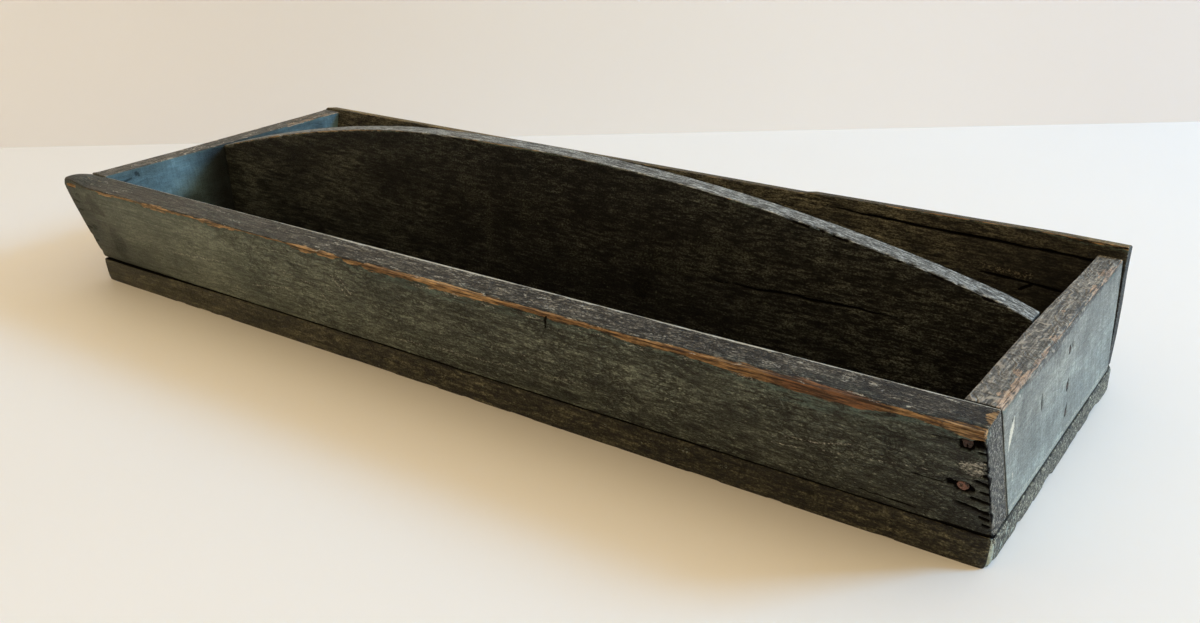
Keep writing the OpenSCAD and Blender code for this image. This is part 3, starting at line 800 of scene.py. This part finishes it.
    # Chips, pale rubs and bare ends along the top
    patch(board, upper, (0, 1), (247.5, -90), (3.6, 4.6), BARE, 0.8, 0.7, 53)
    patch(board, upper, (0, 1), (196, -88), (2.6, 3.4), PALE, 0.3, 0.7, 54)
    patch(board, upper, (0, 1), (221, -95.8), (0.7, 0.7), PALE, 1.0, 0.3, 254, 1)
    patch(board, upper, (0, 1), (228.8, -102), (0.6, 0.6), PALE, 0.9, 0.3, 255, 1)
    rng = np.random.default_rng(5)
    for k in range(60):
        spot = (rng.uniform(-240, 235), rng.uniform(-99, -80))
        patch(board, upper, (0, 1), spot, (rng.uniform(1.5, 6), rng.uniform(0.5, 1.4)), PALE, rng.uniform(0.1, 0.35),
              0.8, 60 + k, 2.5)
    for k in range(70):
        spot = np.array([rng.uniform(-60, 235), rng.uniform(-99, -80)])
        way = np.array([rng.uniform(2, 9), rng.uniform(-2.5, 2.5)])
        groove(board, upper, (0, 1), [spot - way / 2, spot + way / 2], 0.45, 0.1, PALE, rng.uniform(0.3, 0.7), 0.3,
               300 + k)
    return board.build("front_board_worn", "front_board", front_paint)


def back_board():
    length, height, thick = size = (BOX_LEN, (BACK_H - BOTTOM_T) / math.cos(SPLAY), BACK_T)

    def crest(x):
        """The inner top arris, low where a long sliver is lost and dropping again at the right end."""
        rise = smooth(STEP_PLACE - 4, STEP_PLACE + 3, x) * STEP_H
        return BACK_H + 0.3 + rise + at(x, [STEP_PLACE, 222, 250], [0, BACK_SLANT, 0.75 * BACK_SLANT])

    def radius(raw, p):
        return np.maximum(0.4 + 0.2 * noise(p, 14, 23), 0.25)

    straight = side_place(BACK, crest, lambda a, c: BACK_FALL * c, BACK_LEVEL_T)

    def place(a, b, c):
        x, y, z = straight(a, b, c)
        return x + smooth(0.96, 1.0, a) * at(z, [12, 25, 38, 50, 62], [-0.6, 0.3, 0.7, 0.8, 1.4]), y, z

    board = Board(size, ((8, 0.5, 0.9), (4, 0.4, 0.55), (2, 0.4, 1.0)), place, radius,
                  corners=(((0, 1), (0, 1), 2.6), ((0, 1), (1, 1), 0.6)), end_radius=0.5)
    board.turn_out()
    a, b, c = board.raw.T
    down = (1 - b) * height
    inner = (c < 0.02) * 1.0
    split_zones(board, inner, (b > 0.995) * 1.0, ((a < 0.001) | (a > 0.999)) * 1.0)
    weather(board, 0, 31, 0.07)
    x, y, z = board.p.T
    board.tone = 1 + 0.3 * layered(board.p, (70, 16, 16), 32) * inner
    board.tone = board.tone * at(x, [-250, 120, 175, 215, 250], [1.0, 1.05, 0.88, 0.4, 0.31])
    board.tone = board.tone * lerp(1, lerp(1.2, 0.75, smooth(5, 9, down)), inner * smooth(110, 190, x))
    # Cracks along the inner face, painted near black as shade in their depths
    groove(board, inner, (0, 2), [(99, 60.5), (108, 58.6), (130, 57.6), (150, 57.0), (195, 56.6), (240, 55.8)],
           0.85, 1.2, DARK, 1.0, 0.3, 33, 0.35)
    groove(board, inner, (0, 2), [(205, 56.5), (246, 55.5)], 0.8, 1.0, DARK, 1.0, 0.3, 39, 0.2)
    groove(board, inner, (0, 2), [(185, 42.6), (194.7, 41.9), (212, 41.0), (232, 39.8)], 0.7, 0.9, DARK, 1.0, 0.5, 34)
    groove(board, inner, (0, 2), [(206, 37.5), (213, 41.2)], 0.8, 0.7, DARK, 1.0, 0.4, 35)
    for points, seed in (([(120, 50), (168, 48.5)], 236), ([(150, 45), (190, 44)], 237), ([(90, 54), (140, 52)], 238)):
        groove(board, inner, (0, 2), points, 0.6, 0.3, DARK, 0.45, 0.6, seed)
    patch(board, inner, (0, 2), (198, 44.5), (12, 2.2), PALE, 0.16, 0.7, 36, 6)
    patch(board, inner, (0, 2), (172, 50), (12, 3), PALE, 0.10, 0.8, 136, 6)
    board.tone = np.where(b > 0.995, at(x, [-250, 60, 160, 205, 225, 250], [0.9, 0.34, 0.34, 0.5, 0.8, 1.1]), board.tone)
    width = at(x, [-250, 60, 130, 160, 172, 205, 225, 250], [0.2, 0.2, 0.3, 0.8, 0.6, 0.3, 1.0, 1.6])
    rubbed(board, down, c * thick, width, 1.2 * width, 37, 0.1, 0.6)
    for spot in HEADS[BACK, LEFT] + HEADS[BACK, RIGHT]:
        patch(board, (c > 0.98) * 1.0, (0, 2), spot, (3, 3), DARK, 0.5, 0.3, 38, 3, 0.7)
    return board.build("back_board_worn", "back_board", back_paint)


def end_board(side):
    length, height, thick = size = (INSIDE_W + (RIM_H - BOTTOM_T) * math.tan(SPLAY),
                                    (RIM_H - BOTTOM_T) / math.cos(END_LEAN), END_T)

    def place(a, b, c):
        rise = at(a, [0, 0.4, 0.7, 1], [0, 0.5, 1.3, 2.0]) if side == LEFT else 0.0
        z = BOTTOM_T + b * (RIM_H + rise - BOTTOM_T)
        y = lerp(-side_inside(z), side_inside(z), a)
        thinner = 2.0 * smooth(0.35, 1, a) if side == RIGHT else 0.0
        return end_face(side, z) - side * (1 - c) * (END_LEVEL_T - thinner), y, z

    def radius(raw, p):
        a, b, c = raw.T
        top, outer = smooth(0.5, 0.9, b), smooth(0.3, 0.8, c)
        worn = 2.4 + 1.0 * noise(p, 18, 41) if side == RIGHT else 1.6 + 0.8 * (1 - a)
        r = lerp(0.35, lerp(0.7, worn, outer), top) + 0.2 * top * noise(p, 8, 43)
        return np.maximum(r, 0.3) * lerp(0.35, 1, smooth(0, 0.03, np.minimum(a, 1 - a)))

    board = Board(size, ((4, 0.5, 0.7), (4, 0.4, 0.6), (4, 0.4, 0.7)), place, radius)
    if side == LEFT:
        board.turn_out()
    a, b, c = board.raw.T
    down, across = (1 - b) * height, (1 - c) * thick
    inner, outer, upper = (c < 0.02) * 1.0, (c > 0.98) * 1.0, (b > 0.995) * 1.0
    split_zones(board, inner, upper, 0)
    weather(board, 1, 51 + side, 0.14)
    x, y, z = board.p.T
    if side == RIGHT:
        ragged = down + 1.8 * layered(board.p, (7, 7, 3), 54) - at(y, [-85, -60, -40, -15, 10, 80], [1.8, 1.8, 4.2, 3.8, 2.2, 1.6])
        board.zone[:, TOP] = np.maximum(upper, outer * smooth(1.2, -0.6, ragged) * 0.9)
        along_top = at(y, [-85, -60, 0, 55, 70, 85], [1.1, 1.15, 1.1, 1.3, 1.3, 1.05])
        # Painted light: the outer face is lighter toward its foot, lifting the shade near the joint with the bottom
        # board
        down_face = at(z, [12, 16, 22, 34, 46, 58], [1.25, 1.14, 1.09, 1.05, 1.0, 0.96])
        board.tone = np.where(upper > 0, along_top, down_face * at(y, [-80, 0, 30, 60, 85], [1.0, 1.0, 1.07, 1.04, 0.96]))
        board.tone = board.tone * (1 + 0.12 * layered(board.p, (20, 14, 24), 53))
        board.zone[:, INNER] = np.maximum(board.zone[:, INNER], 0.22 * outer * smooth(50, 22, z))
        board.tone = board.tone * (1 - 0.25 * outer * smooth(12, 2, down) * smooth(0.1, -0.5, noise(board.p, (9, 9, 12), 56)))
        width = at(y, [-86, -76, -62, -50, -44, -30, -22, 0, 20, 38, 42, 50, 54, 62, 74, 82],
                   [2.4, 3.2, 3.6, 2.8, 2.4, 2.2, 1.2, 0.8, 0.6, 0.8, 2.0, 1.8, 0.8, 2.4, 3.2, 1.0])
        rubbed(board, across, down, width, 0.6 * width, 55, 0.3, 0.66, BARE, (6, 6, 3))
        for spot, reach, seed in (((-73, 246), (9, 2.4), 155), ((68, 245), (8, 2.8), 156), ((46, 246), (6, 1.8), 157),
                                  ((-52, 243.5), (3, 1.6), 158), ((-14, 245.5), (3.5, 1.5), 159), ((14, 242), (3, 1.6), 150)):
            patch(board, upper, (1, 0), spot, reach, BARE, 0.62, 0.8, seed, 3)
        joint = smooth(1.3, 0.5, a * length) * np.maximum(outer, upper)
        board.add_wear(DARK, joint)
        board.sink(0.4 * joint)
        for spot, reach, seed in (((-31.9, 41.5), (2.4, 5.0), 260), ((-58, 44), (5, 9), 261), ((-10, 50), (14, 4), 262),
                                  ((30, 46), (9, 6), 263), ((-40, 30), (7, 8), 264)):
            patch(board, outer, (1, 2), spot, reach, DARK, 0.22, 0.9, seed, 5)
        for points, width, strength, seed in (
                ([(-66.8, 50), (-69.5, 45), (-72.5, 39)], 2.8, 1.0, 57), ([(-62.5, 56.5), (-61.5, 53)], 0.7, 0.8, 58),
                ([(-66, 28.5), (-65, 24)], 0.8, 0.7, 59), ([(-48, 46), (-47, 42)], 0.5, 0.5, 60)):
            groove(board, outer, (1, 2), points, width, 0.1, PALE, strength, 0.5, seed, 0.4)
        for points, width, seed in (
                ([(8.4, 50.8), (8.8, 46.8)], 0.9, 61), ([(6.0, 35.8), (6.0, 31.4)], 0.9, 62),
                ([(5.6, 25.0), (5.4, 20.6)], 0.9, 63), ([(-32.2, 44.6), (-31.8, 36)], 1.4, 64),
                ([(-69.5, 50), (-69.2, 48)], 0.7, 65), ([(-79.5, 45), (-78.6, 33)], 0.5, 66)):
            groove(board, outer, (1, 2), points, width, 0.35, DARK, 0.7, 0.3, seed, 0.3)
        for spot in BRADS[RIGHT]:
            patch(board, outer, (1, 2), spot, (1.5, 2.0), DARK, 1.0, 0.2, 67, 3, 0.5)
        low_line = at(y, [-72, 72], [13.6, 13.6])
        board.add_wear(PALE, 0.3 * outer * smooth(1.1, 0.3, np.abs(z - low_line)))
        rng = np.random.default_rng(9)
        for k in range(70):
            spot = np.array([rng.uniform(-70, 74), rng.uniform(16, 54)])
            way = np.array([rng.uniform(-1, 1), rng.uniform(3, 12)])
            groove(board, outer, (1, 2), [spot - way / 2, spot + way / 2], 0.5, 0.06, rng.choice([PALE, DARK]),
                   rng.uniform(0.08, 0.25), 0.4, 430 + k)
    else:
        shadow = at(y, [-90, -60, -44, -28, -12, -8, 8, 60, 90], [0.6, 0.8, 1.0, 0.58, 0.11, 0.05, 0.12, 0.72, 0.72])
        board.tone = np.where(inner > 0, shadow * lerp(0.75, 1.1, smooth(22, 50, z)), 0.71)
        board.tone = board.tone * (1 + 0.35 * layered(board.p, (20, 12, 7), 71) * inner)
        patch(board, inner, (1, 2), (-64, 56.0), (2.8, 1.8), DARK, 0.45, 1.2, 72, 1.6)
        groove(board, inner, (1, 2), [(-80, 52), (-66, 54)], 0.8, 0.2, DARK, 0.5, 0.6, 73)
        groove(board, inner, (1, 2), [(-74, 49), (-56, 52)], 0.6, 0.1, DARK, 0.35, 0.6, 76)
        rubbed(board, thick - across, down, at(y, [46, 52, 82, 88], [0, 5.0, 4.5, 1.0]), np.full(len(y), 0.8), 74,
               0.1, 0.62)
        blued = upper * smooth(10.5, 7.0, thick - across + 2 * layered(board.p, (6, 10, 6), 75))
        board.zone[:, INNER] = np.maximum(board.zone[:, INNER], 0.75 * blued * smooth(80, 50, y))
        patch(board, upper, (1, 0), (66, -246), (15, 4), BARE, 0.5, 0.7, 77, 4)
        board.age = -0.5 * upper
    name = "left_end_board" if side == LEFT else "right_end_board"
    return board.build(name + "_worn", name, end_paint)


def divider():
    reach = 2 * HALF_CHORD

    def arch(x):
        drawn = CROWN_H - ARCH_RADIUS + np.sqrt(ARCH_RADIUS ** 2 - x ** 2)
        return drawn + at(x, [-230, -160, -120, -90, -20, 40, 110, 160, 200, 225, 237], [0, 1.1, 1.6, 1.7, 0, 0, 0.5, 0.8, 1.2, 1.3, 0.4])

    def place(a, b, c):
        x = lerp(-HALF_CHORD, HALF_CHORD, a)
        z = np.minimum(BOTTOM_T + b * (arch(x) - BOTTOM_T), CROWN_H)
        x = x + (RIM_H - z) * math.tan(END_LEAN)
        x = np.clip(x, end_inside(LEFT, z), end_inside(RIGHT, z) + 2)
        return x, lerp(-DIVIDER_T / 2, DIVIDER_T / 2, c) - DIVIDER_SHIFT, z

    def radius(raw, p):
        return np.maximum(lerp(0.35, 0.8, smooth(0.6, 0.9, raw[:, 1])) + 0.2 * noise(p, 10, 61), 0.3)

    height = CROWN_H - BOTTOM_T
    board = Board((reach, height, DIVIDER_T), ((6, 0.6, 0.9), (4, 0.4, 0.6), (3, 0.4, 0.9)), place, radius)
    board.turn_out()
    a, b, c = board.raw.T
    face, upper = (c < 0.02) * 1.0, (b > 0.995) * 1.0
    split_zones(board, (c > 0.98) * 1.0, upper, 0)
    weather(board, 0, 71, 0.1)
    x, y, z = board.p.T
    below = arch(x) - z
    tone = at(x, [-240, -160, -60, -20, 40, 120, 240], [1.68, 1.68, 0.82, 0.53, 0.49, 1.06, 1.5])
    tone = tone * (1 + 0.35 * layered(board.p, (34, 10, 22), 77)) * (1 + 0.25 * layered(board.p, (7, 5, 4), 277))
    tone = tone * (1 + 0.35 * noise(board.p, (9, 20, 60), 177) * smooth(-120, -60, x) * smooth(60, 20, x))
    board.grit = at(x, [-240, -120, 0, 120, 240], [0.55, 0.7, 1.15, 1.0, 1.1])
    tone = tone * (1 + 0.35 * smooth(9, 3, np.abs(below - 6)) * at(x, [-120, -60, 0, 80, 130], [0, 1, 1, 0.6, 0]))
    board.tone = np.where(upper > 0, at(x, [-240, -150, -20, 60, 240], [0.9, 1.1, 1.05, 1.05, 1.05]), tone)
    width = at(x, [-240, -190, -150, -60, -40, 20, 60, 110, 125, 150, 180, 240],
               [0.15, 0.25, 0.3, 0.3, 0.7, 0.7, 0.5, 0.9, 0.7, 0.9, 0.5, 0.3])
    rubbed(board, below, c * DIVIDER_T, width, 1.4 * width, 78, 0.15, 0.6, lump=(7, 3, 3))
    board.age = at(x, [-240, 0, 60, 100, 125, 165, 240], [-0.7, -0.7, -0.1, -0.1, -0.8, -0.4, -0.8])
    edge = below + c * DIVIDER_T
    chipped(board, edge, 1.6, 0.8, 79, (4, 4, 4), 0.2)
    chips = smooth(0.0, 0.25, noise(board.p, (2.6, 2, 1.6), 179)) * smooth(100, 150, x) * smooth(2.8, 1.6, edge)
    board.add_wear(DARK, chips)
    board.sink(0.9 * chips)
    groove(board, face, (0, 2), [(96, 45.3), (120, 46.3), (150, 47.6), (186, 47.6)], 0.8, 1.0, DARK, 1.0, 0.6, 80, 0.3)
    patch(board, face, (0, 2), (56, 33.5), (6, 6.5), DARK, 0.35, 0.7, 81, 4, 0.1)
    for spot, reach_xz in (((-46, 62), (5, 9)), ((20, 40), (9, 5)), ((-110, 30), (14, 6)), ((150, 32), (12, 2.5)),
                           ((-36, 50), (3, 14)), ((-12, 56), (4, 16)), ((100, 60), (22, 5)), ((70, 48), (20, 4))):
        patch(board, face, (0, 2), spot, reach_xz, PALE, 0.22, 0.9, int(190 + spot[1]), 5)
    rng = np.random.default_rng(3)
    for k in range(60):
        spot = (rng.uniform(-60, 200), rng.uniform(25, 78))
        patch(board, face, (0, 2), spot, (0.5, 0.4), PALE, 1.0, 0.3, 500 + k, 1)
    return board.build("divider_worn", "divider", divider_paint)


def bottom_board():
    left = end_face(LEFT, BOTTOM_T) + LEFT_SHORT
    right = end_face(RIGHT, BOTTOM_T) + RIGHT_LIP
    front = -side_inside(BOTTOM_T) - FRONT_LEVEL_T - FRONT_LIP
    back = side_inside(BOTTOM_T) + BACK_LEVEL_T + BACK_LIP

    def place(a, b, c):
        x = lerp(left, right, a) - 1.6 * smooth(0.02, 0.0, a) * smooth(0.2, 0.9, c)
        inset = lerp(0.2, 1.9, smooth(-225, -120, x)) * smooth(0.2, 1.0, c)
        return x, lerp(front + inset, back, b), c * BOTTOM_T

    def radius(raw, p):
        a, b, c = raw.T
        low_end = smooth(0.5, 0.2, c) * np.maximum(1.6 * smooth(0.02, 0, a), 0.7 * smooth(0.98, 1, a))
        return np.maximum(0.4 + 0.2 * noise(p, 12, 81) + (1.0 + 0.6 * noise(p, 9, 82)) * low_end, 0.25)

    board = Board((right - left, back - front, BOTTOM_T), ((8, 0.5, 0.8), (6, 0.5, 2.5), (4, 0.4, 0.55)), place, radius,
                  corners=[((0, 1), ends, r) for ends, r in (((0, 0), 2.5), ((1, 0), 3.0), ((0, 1), 5.0), ((1, 1), 7.5))])
    a, b, c = board.raw.T
    right_end, front_face, upper = (a > 0.999) * 1.0, (b < 0.001) * 1.0, (c > 0.98) * 1.0
    x, y, z = board.p.T
    covered = smooth(2.0, 3.5, (1 - a) * (right - left)) * smooth(2.0, 3.0, b * (back - front))
    covered = covered * smooth(2.0, 3.0, (1 - b) * (back - front))
    split_zones(board, upper * covered, 0, ((a < 0.001) | (a > 0.999)) * 1.0)
    weather(board, 0, 91, 0.1)
    x, y, z = board.p.T
    board.p[c < 0.001, 2] = 0
    board.tone = at(x, [-250, -235, -215, -180, -120, -60, 0, 60, 190, 220, 250],
                    [0.8, 0.95, 1.3, 1.38, 1.15, 0.88, 0.72, 0.68, 0.6, 0.49, 0.53])
    board.tone = np.where(right_end > 0, 1.0, board.tone * (1 + 0.3 * layered(board.p, (30, 20, 5), 92)))
    board.tone = board.tone * lerp(1, 1.3, right_end * smooth(-0.2, 0.4, noise(board.p, (5, 9, 5), 192)))
    board.add_wear(DARK, upper * smooth(5.0, 3.6, b * (back - front)) * (b * (back - front) > 0.5))
    board.grit = at(x, [-250, -150, 0, 250], [0.5, 0.6, 1.0, 1.1])
    patch(board, right_end, (1, 2), (-86.5, 6), (2.3, 7), PALE, 0.9, 0.9, 93, (2.5, 2.5, 2.5))
    rng = np.random.default_rng(7)
    for k in range(16):
        spot = np.array([rng.uniform(-82, -60), rng.uniform(2, 10)])
        way = np.array([2.2, 4.5]) * rng.uniform(0.5, 1.2)
        groove(board, right_end, (1, 2), [spot - way / 2, spot + way / 2], 0.5, 0.2, rng.choice([PALE, DARK]),
               rng.uniform(0.4, 0.8), 0.4, 94 + k)
    for k in range(40):
        spot = (rng.uniform(-235, 245), rng.uniform(1.5, 10))
        patch(board, front_face, (0, 2), spot, (rng.uniform(1, 7), rng.uniform(0.4, 1.2)), DARK,
              rng.uniform(0.1, 0.36), 0.9, 600 + k, 2.5, 0.1)
    for k in range(26):
        spot = (rng.uniform(-235, 245), rng.uniform(1.5, 10))
        patch(board, front_face, (0, 2), spot, (rng.uniform(0.6, 3), rng.uniform(0.4, 1.0)), PALE,
              rng.uniform(0.08, 0.2), 0.9, 660 + k, 2.5)
    chipped(board, c * BOTTOM_T + b * (back - front), 2.0, 0.3, 98, (9, 6, 6), 0.25)
    chipped(board, c * BOTTOM_T + (1 - a) * (right - left), 3.0, 0.8, 99, (5, 6, 5), 0.15)
    chipped(board, (1 - c) * BOTTOM_T + (1 - a) * (right - left), 1.6, 0.6, 100, (6, 5, 6), 0.0)
    return board.build("bottom_board_worn", "bottom_board", bottom_paint)


pieces = [front_board(), back_board(), end_board(LEFT), end_board(RIGHT), divider(), bottom_board()]
pieces += [corner_nails(side, end) for side in (FRONT, BACK) for end in (LEFT, RIGHT)]
for name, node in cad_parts.items():
    if name.endswith("nails") or name.endswith("brads"):
        for socket in node.material_slots:
            socket.material = iron

# Table and wall

def stage_material(name, colour, roughness=0.7, painted_light_colour=None):
    n = Nodes(name)
    tone = n.noise((1, 1, 1), 3, 3, 0.5)
    colour = n.mix(n.span(tone, 0.3, 0.7), colour, [min(1, c * 1.02) for c in colour])
    if painted_light_colour:
        # Painted light: a brighter band across the wall, between two places along X
        place = n.add("ShaderNodeSeparateXYZ")
        n.join(n.place, place.inputs[0])
        middle = n.math("MULTIPLY", n.span(place.outputs[0], -0.46, -0.22), n.span(place.outputs[0], -0.1, 0.15, 1.0, 0.0))
        colour = n.mix(middle, colour, painted_light_colour)
    n.join(colour, n.shader.inputs["Base Color"])
    n.shader.inputs["Roughness"].default_value = roughness
    return n.material


def plane(name, corners, material):
    mesh = bpy.data.meshes.new(name)
    mesh.from_pydata([Vector(c) for c in corners], [], [(0, 1, 2, 3)])
    mesh.materials.append(material)
    piece = bpy.data.objects.new(name, mesh)
    bpy.context.scene.collection.objects.link(piece)
    return piece


plane("table", [(-6, -6, 0), (6, -6, 0), (6, 6, 0), (-6, 6, 0)], stage_material("table_white", (0.86, 0.86, 0.855), 0.55))
wall_way = Vector((0.777, 0.630, 0)).normalized()
wall_foot = Vector((-0.2, 0.334, 0))
plane("wall", [wall_foot - wall_way * 6, wall_foot + wall_way * 6,
               wall_foot + wall_way * 6 + Vector((0, 0, 3)), wall_foot - wall_way * 6 + Vector((0, 0, 3))],
      stage_material("wall_beige", (0.83, 0.85, 0.905), 0.9, (0.885, 0.92, 0.99)))

# Light: a far window to the right and behind, cool on its side and warm from the room

world = bpy.data.worlds.new("room")
bpy.context.scene.world = world
world.use_nodes = True
tree = world.node_tree
sky = tree.nodes["Background"]
where = tree.nodes.new("ShaderNodeTexCoord")
turn = tree.nodes.new("ShaderNodeVectorMath")
turn.operation = "DOT_PRODUCT"
WINDOW_AZ = math.radians(37)
WINDOW_EL = math.radians(29.5)
turn.inputs[1].default_value = (math.cos(WINDOW_AZ), math.sin(WINDOW_AZ), 0)
tree.links.new(where.outputs["Generated"], turn.inputs[0])
ramp = tree.nodes.new("ShaderNodeValToRGB")
ramp.color_ramp.elements[0].position = 0.0
ramp.color_ramp.elements[0].color = (0.345, 0.174, 0.077, 1)
ramp.color_ramp.elements[1].position = 1.0
ramp.color_ramp.elements[1].color = (1.66, 1.335, 0.79, 1)
half_turn = tree.nodes.new("ShaderNodeMath")
half_turn.operation = "MULTIPLY_ADD"
half_turn.inputs[1].default_value = 0.5
half_turn.inputs[2].default_value = 0.5
tree.links.new(turn.outputs["Value"], half_turn.inputs[0])
tree.links.new(half_turn.outputs[0], ramp.inputs[0])
tree.links.new(ramp.outputs[0], sky.inputs["Color"])
sky.inputs["Strength"].default_value = 1.0

lamp_data = bpy.data.lights.new("window", "AREA")
lamp_data.shape = "SQUARE"
lamp_data.size = 0.9
lamp_data.energy = 101
lamp_data.color = (0.195, 0.545, 0.95)
lamp = bpy.data.objects.new("window", lamp_data)
toward = Vector((math.cos(WINDOW_AZ) * math.cos(WINDOW_EL), math.sin(WINDOW_AZ) * math.cos(WINDOW_EL), math.sin(WINDOW_EL)))
lamp.location = toward * 3.6
lamp.rotation_euler = toward.to_track_quat("Z", "Y").to_euler()
bpy.context.scene.collection.objects.link(lamp)

# Camera at the photograph's place, solved from the box's own edges
CAMERA_AZ = 0.604054943
CAMERA_EL = 0.395957951
CAMERA_ROLL = -0.00262699629
CAMERA_EYE = Vector((338.198, -446.758, 239.027)) * MM - Vector(MIDDLE) * MM
back_way = Vector((math.sin(CAMERA_AZ) * math.cos(CAMERA_EL), -math.cos(CAMERA_AZ) * math.cos(CAMERA_EL), math.sin(CAMERA_EL)))
level = Vector((math.cos(CAMERA_AZ), math.sin(CAMERA_AZ), 0))
upright = back_way.cross(level)
right_way = math.cos(CAMERA_ROLL) * level + math.sin(CAMERA_ROLL) * upright
up_way = -math.sin(CAMERA_ROLL) * level + math.cos(CAMERA_ROLL) * upright
camera_data = bpy.data.cameras.new("camera")
camera_data.sensor_width = 36
camera_data.lens = 35.562
camera_data.clip_start = 0.01
camera = bpy.data.objects.new("camera", camera_data)
camera.matrix_world = Matrix((
    (right_way.x, up_way.x, back_way.x, CAMERA_EYE[0]),
    (right_way.y, up_way.y, back_way.y, CAMERA_EYE[1]),
    (right_way.z, up_way.z, back_way.z, CAMERA_EYE[2]),
    (0, 0, 0, 1)))
bpy.context.scene.collection.objects.link(camera)
bpy.context.scene.camera = camera
bpy.context.scene.view_settings.view_transform = "Standard"
